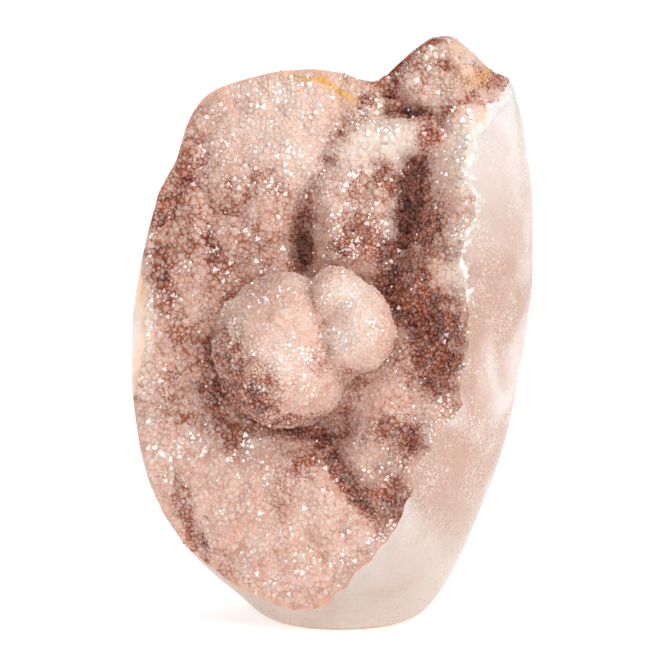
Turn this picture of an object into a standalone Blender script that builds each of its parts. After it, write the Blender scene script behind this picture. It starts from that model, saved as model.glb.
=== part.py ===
"""A pink amethyst geode cut as a freeform that stands on a small flat base.

Two nodes: polished_stone, the body with its polished outside and a hollow in front,
and crystal_crust, the druse that lines the hollow and covers the knob in its middle.
Lengths are in millimetres until the meshes are made. The origin is the centre of the
base, +X right, -Y front, +Z up. The open face leans back by FACE_LEAN: on it u runs
across, w runs up and h comes out of it towards the front.
"""

import math

import bmesh
import bpy
import numpy as np

MM = 0.001
FACE_LEAN = math.radians(12.0)
GAP = 0.3
ROUNDNESS = 2.3
RING_POINTS = 60

# Outer form: height, left, right, front, back
SECTIONS = (
    (0.0, -16.5, 17.0, -15.0, 15.0),
    (1.5, -19.2, 20.0, -17.5, 17.0),
    (6.0, -24.2, 24.0, -20.5, 21.0),
    (11.0, -30.0, 27.0, -23.0, 24.0),
    (16.0, -35.0, 29.5, -25.0, 26.5),
    (21.0, -39.0, 31.5, -26.5, 28.5),
    (26.0, -42.0, 33.5, -28.0, 30.0),
    (35.0, -45.7, 37.0, -29.5, 32.5),
    (45.0, -47.8, 40.0, -30.3, 35.0),
    (57.0, -49.0, 42.5, -30.5, 37.0),
    (69.0, -48.9, 44.5, -30.0, 38.5),
    (83.0, -47.0, 45.8, -28.0, 38.8),
    (97.5, -43.5, 45.8, -25.0, 37.5),
    (107.0, -41.0, 45.1, -22.0, 36.0),
    (116.0, -38.5, 44.1, -18.0, 33.5),
    (122.0, -37.3, 43.4, -14.0, 31.0),
    (126.5, -36.2, 42.1, -9.0, 28.0),
    (130.0, -34.4, 40.5, -4.0, 25.0),
    (132.5, -31.0, 37.5, 1.0, 20.0),
    (134.0, -25.0, 33.0, 6.5, 15.0),
    (134.3, -22.0, 31.0, 10.5, 10.5),
)
TOP_START = 100.0
TOP_BACK_FALL = 0.3
# Height of the top edge along the width: x, z
TOP_EDGE = (
    (-38.0, 119.5), (-36.0, 122.5), (-34.0, 125.0), (-31.5, 127.0), (-27.5, 128.4),
    (-21.5, 129.8), (-13.5, 131.2), (-7.5, 131.4), (0.5, 130.4), (6.5, 128.6),
    (9.0, 128.4), (11.5, 130.2), (14.5, 133.2), (18.5, 136.6), (22.5, 139.0),
    (25.5, 139.6), (29.5, 138.8), (33.5, 135.4), (36.5, 133.2), (40.5, 132.2),
    (44.5, 126.0),
)

# Open face: its plane rises to the right, and the polished side starts at BORDER (w, u)
FACE_HEIGHT = 23.85
FACE_RISE = 0.319
BORDER = (
    (5.5, 0.0), (9.0, 5.0), (13.5, 9.0), (20.0, 14.0), (27.0, 17.0), (34.5, 18.0),
    (44.0, 23.5), (47.5, 28.0), (50.0, 30.0), (56.0, 29.5), (63.0, 31.5), (72.0, 31.5),
    (79.5, 30.0), (89.5, 29.5), (94.0, 32.5), (99.0, 32.5), (104.5, 30.0), (112.0, 33.5),
    (120.0, 36.0), (128.0, 39.0),
)
BORDER_SLOPE = 3.0

# Swells and hollows of the open face: u, w, half width, half height, turn, rise, flatness
SWELLS = (
    # broad upper left
    (-19.0, 112.5, 19.0, 17.5, 0, 2.0, 3.0),
    (-9.0, 117.0, 11.0, 10.5, 0, 0.9, 2.4),
    (-24.0, 119.0, 8.0, 7.0, 0, 0.7, 2.4),
    (-27.5, 107.5, 7.0, 8.0, 0, 0.6, 2.4),
    (-15.0, 104.0, 8.0, 7.0, 0, 0.8, 2.4),
    (-6.5, 106.0, 4.5, 8.0, -20, 1.0, 2.4),
    (-17.0, 93.0, 7.0, 8.0, 0, 1.6, 2.4),
    (-25.0, 89.5, 5.0, 5.0, 0, 1.1, 2.4),
    # left flank
    (-31.5, 98.0, 6.0, 7.0, 0, 0.8, 2.4),
    (-37.0, 90.5, 4.5, 5.0, 0, 0.9, 2.4),
    (-31.5, 82.0, 5.0, 5.5, 0, 1.2, 2.4),
    (-38.5, 78.5, 5.5, 6.0, 0, 0.9, 2.4),
    (-33.5, 70.5, 6.0, 6.0, 0, 1.3, 2.4),
    (-41.5, 68.5, 4.5, 6.0, 0, 0.6, 2.4),
    (-24.5, 78.0, 4.5, 4.5, 0, 1.0, 2.4),
    (-39.5, 56.5, 8.0, 8.0, 0, 1.1, 2.6),
    (-41.0, 44.0, 6.5, 8.0, 0, 0.9, 2.4),
    (-32.0, 48.0, 6.0, 7.0, 0, 1.0, 2.4),
    (-31.5, 60.0, 4.0, 5.5, 0, 0.8, 2.4),
    # lower left
    (-25.0, 28.5, 11.0, 10.0, 0, 2.6, 2.8),
    (-18.0, 16.5, 9.0, 8.0, 0, 1.6, 2.6),
    (-36.5, 32.5, 5.5, 7.0, 0, 1.0, 2.4),
    (-29.5, 16.0, 6.0, 4.5, 30, 0.9, 2.4),
    (-10.0, 26.5, 9.0, 8.0, 0, 1.9, 2.6),
    (0.5, 23.0, 7.5, 8.0, 30, 1.8, 2.6),
    (-5.0, 13.0, 7.0, 6.0, 0, 1.3, 2.4),
    (-13.0, 36.5, 6.0, 4.5, 0, 1.0, 2.4),
    (6.0, 16.0, 5.0, 6.0, 30, 1.1, 2.4),
    # leaning lobe in the middle of the upper part
    (2.0, 92.0, 9.5, 10.0, -30, 9.0, 4.0),
    (8.0, 101.5, 8.5, 9.0, -30, 8.0, 4.0),
    (15.0, 110.0, 7.0, 7.0, -40, 6.0, 4.0),
    (-2.5, 95.5, 4.0, 6.0, -20, 2.0, 2.4),
    (8.0, 92.0, 4.5, 5.5, -20, 2.0, 2.4),
    (3.0, 103.0, 4.0, 5.5, -30, 1.6, 2.4),
    (13.5, 102.5, 4.0, 5.0, -30, 1.8, 2.4),
    (20.0, 114.5, 4.0, 2.5, -20, 2.0, 2.4),
    (6.5, 112.5, 5.0, 3.0, -30, 3.0, 2.6),
    (3.0, 84.5, 4.5, 4.0, 0, 2.0, 2.4),
    # tip
    (25.5, 124.5, 10.5, 10.0, 0, 9.0, 3.4),
    (19.5, 122.0, 4.0, 4.5, 0, 2.0, 2.4),
    (31.0, 124.5, 4.5, 4.0, 0, 2.0, 2.4),
    (25.5, 131.0, 5.0, 4.0, 0, 2.0, 2.4),
    (13.0, 119.5, 2.0, 2.0, 0, 4.0, 2.4),
    (9.0, 121.0, 3.0, 3.5, 0, 4.0, 2.4),
    # right wall and its lumps
    (34.5, 123.0, 5.5, 7.0, -35, 2.0, 2.6),
    (29.0, 112.0, 4.5, 6.0, -20, 2.0, 2.4),
    (26.5, 101.5, 4.5, 5.0, 0, 2.2, 2.4),
    (26.0, 93.0, 4.0, 4.5, 0, 1.6, 2.4),
    (27.5, 84.5, 4.0, 4.5, 0, 2.0, 2.4),
    (21.5, 81.0, 4.0, 5.0, -10, 5.0, 2.4),
    (16.5, 77.0, 3.5, 5.5, 0, 4.5, 2.4),
    (25.0, 73.0, 4.0, 3.5, 0, 3.0, 2.4),
    (22.0, 64.0, 4.0, 4.0, 0, 3.4, 2.4),
    (24.0, 56.0, 4.0, 4.0, 0, 3.0, 2.4),
    (15.5, 62.5, 3.5, 5.5, 0, 3.0, 2.4),
    (11.5, 51.0, 5.5, 5.5, 0, 4.2, 2.6),
    (19.0, 45.5, 5.5, 5.0, 0, 3.4, 2.6),
    (8.0, 42.0, 4.0, 4.0, 0, 3.4, 2.4),
    (15.0, 36.5, 4.5, 4.0, 0, 3.2, 2.4),
    (10.5, 29.5, 3.5, 4.0, 0, 3.0, 2.4),
    (23.5, 48.5, 3.5, 3.5, 0, 1.6, 2.4),
    # valleys and furrows
    (3.0, 117.5, 4.0, 7.0, -50, -4.0, 2.4),
    (-4.0, 107.5, 3.5, 8.0, -40, -3.5, 2.4),
    (-6.5, 99.0, 4.0, 9.5, -18, -7.0, 2.6),
    (-9.5, 87.5, 7.0, 8.0, 0, -7.0, 2.6),
    (8.0, 100.5, 18.0, 21.5, -28, -11.5, 4.0),
    (17.0, 99.0, 5.0, 14.0, -15, -5.0, 2.6),
    (14.0, 83.5, 6.0, 9.5, 0, -6.0, 2.6),
    (19.0, 118.0, 11.0, 4.5, 15, -8.0, 2.6),
    (24.0, 125.5, 15.5, 13.0, 0, -16.0, 4.0),
    (10.0, 123.5, 3.5, 5.0, 0, -3.0, 2.4),
    (39.5, 129.0, 9.0, 12.0, 0, -10.0, 2.6),
    (-9.0, 63.0, 21.5, 21.5, 0, -7.0, 3.0),
    (12.5, 70.0, 8.0, 14.0, 0, -6.0, 2.6),
    (-2.0, 44.5, 13.0, 6.0, -20, -8.0, 2.6),
    (3.0, 36.5, 4.0, 11.0, 42, -6.0, 2.6),
    (12.0, 26.5, 4.0, 4.0, 0, -5.0, 2.4),
    (23.0, 67.5, 6.0, 13.0, 0, -8.0, 3.0),
    (17.0, 51.0, 8.0, 12.0, 0, -4.0, 2.6),
    (-35.0, 21.5, 2.5, 6.0, 25, -2.0, 2.4),
    (-26.5, 96.5, 2.5, 8.5, 60, -1.2, 2.4),
    (-6.5, 18.0, 2.0, 7.0, 30, -1.4, 2.4),
    (-31.5, 64.5, 2.5, 4.5, 70, -1.2, 2.4),
    (-13.5, 2.0, 20.0, 6.0, 0, -2.0, 2.0),
)

# Knob lobes: u, w, h of the centre, then radii along u, w, h
LOBES = (
    (-12.0, 63.0, 17.0, 16.5, 18.0, 17.0),
    (2.5, 71.0, 27.0, 10.5, 12.5, 11.0),
)

CRUST = 2.6
CRUST_AT_BORDER = 1.2
CRYSTAL_GRID = 2.9
CRYSTAL_HEIGHT = 1.4
KNOB_CRYSTAL_HEIGHT = 0.1
BACK_GRID = 5.0
FACE_LEFT, FACE_RIGHT = -58.0, 56.0
FACE_BOTTOM, FACE_TOP = -14.0, 152.0
BLOCK_BACK = -72.0


def clear_scene():
    for obj in list(bpy.data.objects):
        bpy.data.objects.remove(obj, do_unlink=True)


def cells(u, w, pitch, seed):
    """Rounded cells, 1 at a cell's middle and lower at its edges."""
    column = np.floor(u / pitch)
    row = np.floor(w / pitch)
    nearest = np.full(np.shape(u), 9.0)
    for i in (-1, 0, 1):
        for j in (-1, 0, 1):
            a = np.sin((column + i) * 127.1 + (row + j) * 311.7 + seed * 74.7) * 43758.5453
            b = np.sin((column + i) * 269.5 + (row + j) * 183.3 + seed * 19.3) * 43758.5453
            x = (column + i + 0.1 + 0.8 * (a - np.floor(a))) * pitch
            y = (row + j + 0.1 + 0.8 * (b - np.floor(b))) * pitch
            nearest = np.minimum(nearest, np.hypot(u - x, w - y) / pitch)
    return 1.0 - np.clip(nearest, 0.0, 1.0) ** 2


def past_border(u, w):
    """Distance to the right of the line where the polished side starts."""
    line = np.array(BORDER)
    return (u - np.interp(w, line[:, 0], line[:, 1])) * 0.9


def face_height(u, w):
    """Height of the druse over the leaning face plane, without its small lumps."""
    height = FACE_HEIGHT + FACE_RISE * u
    for cu, cw, half_width, half_height, turn, rise, flatness in SWELLS:
        angle = math.radians(turn)
        across = (u - cu) * math.cos(angle) + (w - cw) * math.sin(angle)
        along = (w - cw) * math.cos(angle) - (u - cu) * math.sin(angle)
        radius = np.hypot(across / half_width, along / half_height)
        height = height + rise * np.exp(-(radius ** flatness))
    return height + BORDER_SLOPE * np.clip(past_border(u, w) + 0.5, 0.0, 4.0)


def lumps(u, w):
    return 1.5 * cells(u, w, 7.5, 1) + 0.7 * cells(u + 3.0, w + 1.0, 4.0, 2) - 1.4


def face_slope(u, w, step=1.0):
    along_u = (face_height(u + step, w) - face_height(u - step, w)) / (2.0 * step)
    along_w = (face_height(u, w + step) - face_height(u, w - step)) / (2.0 * step)
    return along_u, along_w


def front_point(u, w, raised):
    """Druse surface point, raised along the surface normal."""
    along_u, along_w = face_slope(u, w)
    length = np.sqrt(1.0 + along_u ** 2 + along_w ** 2)
    height = face_height(u, w) + lumps(u, w)
    return u - along_u / length * raised, w - along_w / length * raised, height + raised / length


def back_point(u, w, extra):
    """Point of the surface behind the crust, with extra depth for the joint."""
    along_u, along_w = face_slope(u, w)
    steepness = np.minimum(np.sqrt(1.0 + along_u ** 2 + along_w ** 2), 2.2)
    near = np.clip(past_border(u, w) / 4.0 + 1.0, 0.0, 1.0)
    thickness = CRUST + (CRUST_AT_BORDER - CRUST) * near
    return u, w, face_height(u, w) - (thickness + extra) * steepness


def to_world(u, w, h):
    """Metres in the object's frame from millimetres on the leaning face."""
    y = w * math.sin(FACE_LEAN) - h * math.cos(FACE_LEAN)
    z = w * math.cos(FACE_LEAN) + h * math.sin(FACE_LEAN)
    return u * MM, y * MM, z * MM


def object_from(bm, name):
    bmesh.ops.recalc_face_normals(bm, faces=bm.faces[:])
    mesh = bpy.data.meshes.new(name)
    bm.to_mesh(mesh)
    bm.free()
    obj = bpy.data.objects.new(name, mesh)
    bpy.context.scene.collection.objects.link(obj)
    return obj


def lift_top(x, y, z):
    """Raises or lowers the upper part so that its edge follows TOP_EDGE."""
    if z <= TOP_START:
        return z
    edge = np.array(TOP_EDGE)
    target = float(np.interp(x, edge[:, 0], edge[:, 1]))
    target -= TOP_BACK_FALL * max(0.0, y - 6.0)
    return TOP_START + (target - TOP_START) * (z - TOP_START) / (SECTIONS[-1][0] - TOP_START)


def outer_form(name):
    """The whole freeform before its face is opened."""
    bm = bmesh.new()
    rings = []
    for height, left, right, front, back in SECTIONS:
        roundness = min(ROUNDNESS, 2.0 + height / 60.0)
        ring = []
        for step in range(RING_POINTS):
            angle = 2.0 * math.pi * step / RING_POINTS
            c, s = math.cos(angle), math.sin(angle)
            x = (left + right) / 2.0 + (right - left) / 2.0 * math.copysign(abs(c) ** (2.0 / roundness), c)
            y = (front + back) / 2.0 + (back - front) / 2.0 * math.copysign(abs(s) ** (2.0 / roundness), s)
            ring.append(bm.verts.new((x * MM, y * MM, lift_top(x, y, height) * MM)))
        rings.append(ring)
    for lower, upper in zip(rings, rings[1:]):
        for step in range(RING_POINTS):
            after = (step + 1) % RING_POINTS
            bm.faces.new((lower[step], lower[after], upper[after], upper[step]))
    bm.faces.new(rings[0][::-1])
    bmesh.ops.remove_doubles(bm, verts=rings[-1], dist=0.00001)
    return object_from(bm, name)


def face_block(name, grid, place, crystals):
    """All that lies behind a surface over the open face, as a closed block."""
    columns = int((FACE_RIGHT - FACE_LEFT) / grid)
    rows = int((FACE_TOP - FACE_BOTTOM) / (grid * math.sqrt(0.75)))
    bm = bmesh.new()
    bmesh.ops.create_grid(bm, x_segments=columns, y_segments=rows, size=0.5)
    rng = np.random.default_rng(7)
    flat = []
    for vert in bm.verts:
        i = round((vert.co.x + 0.5) * columns)
        j = round((vert.co.y + 0.5) * rows)
        rim = i in (0, columns) or j in (0, rows)
        apex = crystals and not rim and (i - (j - j % 2) // 2 - j) % 3 == 0
        shift = rng.uniform(-0.14, 0.14, 2) * grid * (0.0 if rim or not crystals else 1.0)
        u = FACE_LEFT + (i + 0.5 * (j % 2)) * grid + shift[0]
        w = FACE_BOTTOM + j * grid * math.sqrt(0.75) + shift[1]
        flat.append((u, w, CRYSTAL_HEIGHT * rng.uniform(0.7, 1.3) if apex else 0.0))
        vert.co = (u * MM, w * MM, 0.0)
    bmesh.ops.triangulate(bm, faces=bm.faces[:], quad_method="SHORT_EDGE")
    u, w, raised = np.array(flat).T
    placed = place(u, w, raised)
    rim_edges = [edge for edge in bm.edges if edge.is_boundary]
    for vert, point in zip(list(bm.verts), zip(*placed)):
        vert.co = to_world(*point)
    walls = bmesh.ops.extrude_edge_only(bm, edges=rim_edges)["geom"]
    new_edges = [item for item in walls if isinstance(item, bmesh.types.BMEdge)]
    for vert in {vert for edge in new_edges for vert in edge.verts}:
        height = -vert.co.y / MM * math.cos(FACE_LEAN) + vert.co.z / MM * math.sin(FACE_LEAN)
        drop = to_world(0.0, 0.0, BLOCK_BACK - height)
        vert.co.y += drop[1]
        vert.co.z += drop[2]
    bmesh.ops.contextual_create(bm, geom=[edge for edge in new_edges if edge.is_boundary])
    return object_from(bm, name)


def lobe(name, centre, radii, crystals, fineness=3):
    """An ellipsoid of the knob, with a low six-sided crystal at each point when wanted."""
    bm = bmesh.new()
    bmesh.ops.create_icosphere(bm, subdivisions=fineness, radius=1.0)
    tips = list(bm.verts)
    if crystals:
        edges = list(bm.edges)
        bmesh.ops.poke(bm, faces=bm.faces[:])
        bmesh.ops.rotate_edges(bm, edges=edges, use_ccw=False)
    rng = np.random.default_rng(11)
    height = KNOB_CRYSTAL_HEIGHT * radii[0]
    for vert in bm.verts:
        direction = vert.co.normalized()
        raised = height * rng.uniform(0.6, 1.4) if crystals and vert in tips else 0.0
        point = [middle + (radius + raised) * part for middle, radius, part in zip(centre, radii, direction)]
        vert.co = to_world(*point)
    return object_from(bm, name)


def combine(target, tool, operation):
    modifier = target.modifiers.new(tool.name, "BOOLEAN")
    modifier.solver = "EXACT"
    modifier.operation = operation
    modifier.object = tool
    graph = bpy.context.evaluated_depsgraph_get()
    mesh = bpy.data.meshes.new_from_object(target.evaluated_get(graph))
    target.modifiers.clear()
    target.data = mesh
    bpy.data.objects.remove(tool, do_unlink=True)


def keep_largest(obj):
    """Drops the chips that a cut leaves beside the main body."""
    bm = bmesh.new()
    bm.from_mesh(obj.data)
    bmesh.ops.remove_doubles(bm, verts=bm.verts[:], dist=0.00002)
    bmesh.ops.triangulate(bm, faces=bm.faces[:])
    left = set(bm.faces)
    pieces = []
    while left:
        start = left.pop()
        piece, edge_of = [start], [start]
        while edge_of:
            face = edge_of.pop()
            for edge in face.edges:
                for other in edge.link_faces:
                    if other in left:
                        left.remove(other)
                        piece.append(other)
                        edge_of.append(other)
        pieces.append(piece)
    pieces.sort(key=len)
    for piece in pieces[:-1]:
        bmesh.ops.delete(bm, geom=piece, context="FACES")
    bm.to_mesh(obj.data)
    bm.free()


def finish(obj, name, collection, colour, roughness):
    material = bpy.data.materials.new(name)
    material.use_nodes = True
    shader = material.node_tree.nodes["Principled BSDF"]
    shader.inputs["Base Color"].default_value = (*colour, 1.0)
    shader.inputs["Roughness"].default_value = roughness
    obj.data.materials.clear()
    obj.data.materials.append(material)
    obj.name = name
    obj.data.name = name
    bpy.context.scene.collection.objects.unlink(obj)
    collection.objects.link(obj)


def polished_stone():
    """The polished body, hollowed for the crust and with the cores of the knob."""
    stone = outer_form("stone")
    hollow = face_block("hollow", BACK_GRID, lambda u, w, raised: back_point(u, w, GAP), False)
    combine(stone, hollow, "INTERSECT")
    for number, (u, w, h, *radii) in enumerate(LOBES):
        core = lobe(f"core_{number}", (u, w, h), [radius - CRUST - GAP for radius in radii], False, 2)
        combine(stone, core, "UNION")
    keep_largest(stone)
    return stone


def crystal_crust():
    """The druse over the hollow and the knob, one piece with crystals on its front."""
    crust = outer_form("crust")
    combine(crust, face_block("front", CRYSTAL_GRID, front_point, True), "INTERSECT")
    for number, (u, w, h, *radii) in enumerate(LOBES):
        combine(crust, lobe(f"lobe_{number}", (u, w, h), radii, True), "UNION")
    back = face_block("back", BACK_GRID, lambda u, w, raised: back_point(u, w, 0.0), False)
    combine(crust, back, "DIFFERENCE")
    for number, (u, w, h, *radii) in enumerate(LOBES):
        core = lobe(f"core_{number}", (u, w, h), [radius - CRUST for radius in radii], False, 2)
        combine(crust, core, "DIFFERENCE")
    keep_largest(crust)
    return crust


def main():
    clear_scene()
    amethyst = bpy.data.collections.new("pink_amethyst")
    bpy.context.scene.collection.children.link(amethyst)
    finish(polished_stone(), "polished_stone", amethyst, (0.78, 0.60, 0.53), 0.15)
    finish(crystal_crust(), "crystal_crust", amethyst, (0.70, 0.50, 0.43), 0.25)


main()
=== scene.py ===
"""The looks of a standing pink amethyst freeform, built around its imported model.

The stone is one polished body whose front is open. A druse of small quartz points lines
the opening and covers a two-lobed knob in the middle of it. Everything is worked out in
millimetres on the leaning open face, where u runs across, w runs up and h comes out of
it towards the viewer, and is turned into metres when a mesh is made.
"""

import logging
import math
from dataclasses import dataclass, fields
from enum import Enum
from itertools import product

import bmesh
import bpy
import numpy as np
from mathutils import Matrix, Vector
from mathutils.kdtree import KDTree


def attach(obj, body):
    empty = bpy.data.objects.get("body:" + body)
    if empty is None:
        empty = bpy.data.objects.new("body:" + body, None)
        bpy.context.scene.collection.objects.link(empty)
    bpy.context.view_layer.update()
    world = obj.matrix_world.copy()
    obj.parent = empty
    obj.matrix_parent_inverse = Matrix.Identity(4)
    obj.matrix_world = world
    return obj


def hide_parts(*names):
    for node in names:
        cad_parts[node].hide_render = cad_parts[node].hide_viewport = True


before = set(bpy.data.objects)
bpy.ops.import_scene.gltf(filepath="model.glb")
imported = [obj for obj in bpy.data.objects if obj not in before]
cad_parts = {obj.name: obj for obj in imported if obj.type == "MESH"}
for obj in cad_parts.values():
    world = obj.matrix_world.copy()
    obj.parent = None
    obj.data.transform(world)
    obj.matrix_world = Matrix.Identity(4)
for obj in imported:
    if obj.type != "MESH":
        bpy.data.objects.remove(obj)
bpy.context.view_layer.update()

log = logging.getLogger("pink_amethyst")

Array = np.ndarray
Colour = tuple[float, float, float]

MM = 0.001
FULL_TURN = 2.0 * math.pi
QUARTZ_REFRACTION = 1.544
BODY = "root"
STONE_NODE = "polished_stone"
CRUST_NODE = "crystal_crust"

FACE_LEAN = math.radians(12.0)
# Scale and origin of the photograph, for the camera alone
PHOTO_WIDTH = 666
PIXELS_PER_MM = 4.24
BASE_PIXEL = (338.9, 616.5)
# The way from the stone to the viewer
TO_VIEWER = np.array([0.0, -math.cos(FACE_LEAN), math.sin(FACE_LEAN)])
# Factors that make the values of neighbouring places differ, for two unlike patterns
FIRST_SCATTER = (127.1, 311.7, 57.3, 74.7)
SECOND_SCATTER = (269.5, 183.3, 0.0, 19.3)
SCATTER_SPREAD = 43758.5453
# Points of a mesh nearer to each other than this are one, in metres
LOFT_WELD = 0.00001
CUT_WELD = 0.000005


class Join(Enum):
    """How one solid is combined with another."""

    KEEP_SHARED = "INTERSECT"
    ADD = "UNION"
    CUT = "DIFFERENCE"


class Grain(Enum):
    """Classes of quartz points, from the large ones to the sugar between them."""

    COARSE = "coarse"
    FINE = "fine"


class Sum(Enum):
    """Sums that a finish works out."""

    PLUS = "ADD"
    TIMES = "MULTIPLY"
    LARGER = "MAXIMUM"


def to_world(u: Array, w: Array, h: Array) -> Array:
    """Turns places on the leaning face into the stone's own frame.

    Args:
        u: Places across the face, in millimetres.
        w: Places up the face, in millimetres.
        h: Heights over the face towards the viewer, in millimetres.

    Returns:
        Points as rows of x, y, z, in millimetres.
    """
    y = w * math.sin(FACE_LEAN) - h * math.cos(FACE_LEAN)
    z = w * math.cos(FACE_LEAN) + h * math.sin(FACE_LEAN)
    return np.stack([u, y, z], axis=-1)


def to_face(points: Array) -> tuple[Array, Array, Array]:
    """Turns points of the stone's frame into places on the leaning face.

    Args:
        points: Rows of x, y, z, in millimetres.

    Returns:
        The u, w and h of each point, in millimetres.
    """
    w = points[:, 1] * math.sin(FACE_LEAN) + points[:, 2] * math.cos(FACE_LEAN)
    h = points[:, 2] * math.sin(FACE_LEAN) - points[:, 1] * math.cos(FACE_LEAN)
    return points[:, 0], w, h


def smooth_curve(table: Array, column: int, at: Array) -> Array:
    """Reads a smooth curve through a table's points that never overshoots them.

    Args:
        table: Rows that start with the place and hold one or more values.
        column: Which value of a row is read.
        at: The places to read.

    Returns:
        The curve's value at each place.
    """
    x, y = table[:, 0], table[:, column]
    step = np.diff(x)
    rate = np.diff(y) / step
    slope = np.zeros_like(y)
    slope[0], slope[-1] = rate[0], rate[-1]
    same_way = rate[:-1] * rate[1:] > 0.0
    safe = np.where(same_way, rate[:-1] + rate[1:], 1.0)
    slope[1:-1] = np.where(same_way, 2.0 * rate[:-1] * rate[1:] / safe, 0.0)
    at = np.clip(at, x[0], x[-1])
    k = np.clip(np.searchsorted(x, at, side="right") - 1, 0, len(x) - 2)
    t = (at - x[k]) / step[k]
    low, high = y[k], y[k + 1]
    start, end = slope[k] * step[k], slope[k + 1] * step[k]
    rise = t * t * (3.0 - 2.0 * t)
    return (
        low + (high - low) * rise + start * t * (1.0 - t) ** 2 - end * t * t * (1.0 - t)
    )


def scatter_value(
    i: Array, j: Array, k: Array, seed: float, factors: tuple[float, ...] = FIRST_SCATTER
) -> Array:
    """A repeatable value from 0 to 1 for each whole-numbered place."""
    mixed = np.sin(i * factors[0] + j * factors[1] + k * factors[2] + seed * factors[3]) * SCATTER_SPREAD
    return mixed - np.floor(mixed)


def cells(u: Array, w: Array, pitch: float, seed: int) -> Array:
    """Rounded lumps side by side, as seen from above.

    Args:
        u: Places across.
        w: Places up.
        pitch: The usual distance from one lump to the next.
        seed: Picks one pattern of lumps.

    Returns:
        1 at the middle of a lump, and less towards its edge.
    """
    column, row = np.floor(u / pitch), np.floor(w / pitch)
    nearest = np.ones(np.shape(u))
    edge, room = 0.1, 0.8
    for i in (-1, 0, 1):
        for j in (-1, 0, 1):
            across = scatter_value(column + i, row + j, 0.0, seed)
            along = scatter_value(column + i, row + j, 0.0, seed, SECOND_SCATTER)
            x = (column + i + edge + room * across) * pitch
            y = (row + j + edge + room * along) * pitch
            nearest = np.minimum(nearest, np.hypot(u - x, w - y) / pitch)
    return 1.0 - nearest**2


def clouds(points: Array, pitch: float, seed: float) -> Array:
    """Soft clouds through space, from 0 to 1.

    Args:
        points: Rows of x, y, z, in millimetres.
        pitch: The size of a cloud, in millimetres.
        seed: Picks one pattern.

    Returns:
        The cloud's value at each point.
    """
    scaled = points / pitch
    low = np.floor(scaled)
    part = scaled - low
    part = part * part * (3.0 - 2.0 * part)
    total = np.zeros(len(points))
    for i, j, k in product((0, 1), repeat=3):
        share = (
            (part[:, 0] if i else 1.0 - part[:, 0])
            * (part[:, 1] if j else 1.0 - part[:, 1])
            * (part[:, 2] if k else 1.0 - part[:, 2])
        )
        total += share * scatter_value(low[:, 0] + i, low[:, 1] + j, low[:, 2] + k, seed)
    return total


@dataclass(frozen=True)
class Patch:
    """A soft oval on the open face: a rise, a hollow, a stain, painted shade or a painted highlight, in
    millimetres.
    """

    u: float
    w: float
    half_width: float
    half_height: float
    turn: float
    amount: float
    flatness: float = 2.4

    def spread(self, u: Array, w: Array) -> Array:
        """Reads the patch.

        Args:
            u: Places across the face.
            w: Places up the face.

        Returns:
            The patch's amount at its middle, fading to nothing outside it.
        """
        angle = math.radians(self.turn)
        across = (u - self.u) * math.cos(angle) + (w - self.w) * math.sin(angle)
        along = (w - self.w) * math.cos(angle) - (u - self.u) * math.sin(angle)
        radius = np.hypot(across / self.half_width, along / self.half_height)
        return self.amount * np.exp(-(radius**self.flatness))


def sum_of(patches: tuple[Patch, ...], u: Array, w: Array) -> Array:
    """Adds up patches.

    Args:
        patches: The patches to add.
        u: Places across the face.
        w: Places up the face.

    Returns:
        Their sum at each place.
    """
    total = np.zeros(np.shape(u))
    for patch in patches:
        total = total + patch.spread(u, w)
    return total


BROW = (
    Patch(-19.0, 112.5, 19.0, 17.5, 0, 2.0, 3.0),
    Patch(-9.0, 117.0, 11.0, 10.5, 0, 0.9),
    Patch(-24.0, 119.0, 8.0, 7.0, 0, 0.7),
    Patch(-27.5, 107.5, 7.0, 8.0, 0, 0.6),
    Patch(-15.0, 104.0, 8.0, 7.0, 0, 0.8),
    Patch(-6.5, 106.0, 4.5, 8.0, -20, 1.0),
    Patch(-17.0, 93.0, 7.0, 8.0, 0, 1.6),
    Patch(-25.0, 89.5, 5.0, 5.0, 0, 1.1),
)
LEFT_FLANK = (
    Patch(-31.5, 98.0, 6.0, 7.0, 0, 0.8),
    Patch(-37.0, 90.5, 4.5, 5.0, 0, 0.9),
    Patch(-31.5, 82.0, 5.0, 5.5, 0, 1.2),
    Patch(-38.5, 78.5, 5.5, 6.0, 0, 0.9),
    Patch(-33.5, 70.5, 6.0, 6.0, 0, 1.3),
    Patch(-41.5, 68.5, 4.5, 6.0, 0, 0.6),
    Patch(-24.5, 78.0, 4.5, 4.5, 0, 1.0),
    Patch(-39.5, 56.5, 8.0, 8.0, 0, 1.1, 2.6),
    Patch(-41.0, 44.0, 6.5, 8.0, 0, 0.9),
    Patch(-32.0, 48.0, 6.0, 7.0, 0, 1.0),
    Patch(-31.5, 60.0, 4.0, 5.5, 0, 0.8),
)
BELLY = (
    Patch(-25.0, 28.5, 11.0, 10.0, 0, 2.6, 2.8),
    Patch(-18.0, 16.5, 9.0, 8.0, 0, 1.6, 2.6),
    Patch(-36.5, 32.5, 5.5, 7.0, 0, 1.0),
    Patch(-29.5, 16.0, 6.0, 4.5, 30, 0.9),
    Patch(-10.0, 26.5, 9.0, 8.0, 0, 1.9, 2.6),
    Patch(0.5, 23.0, 7.5, 8.0, 30, 1.8, 2.6),
    Patch(-5.0, 13.0, 7.0, 6.0, 0, 1.3),
    Patch(-13.0, 36.5, 6.0, 4.5, 0, 1.0),
    Patch(6.0, 16.0, 5.0, 6.0, 30, 1.1),
)
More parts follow.
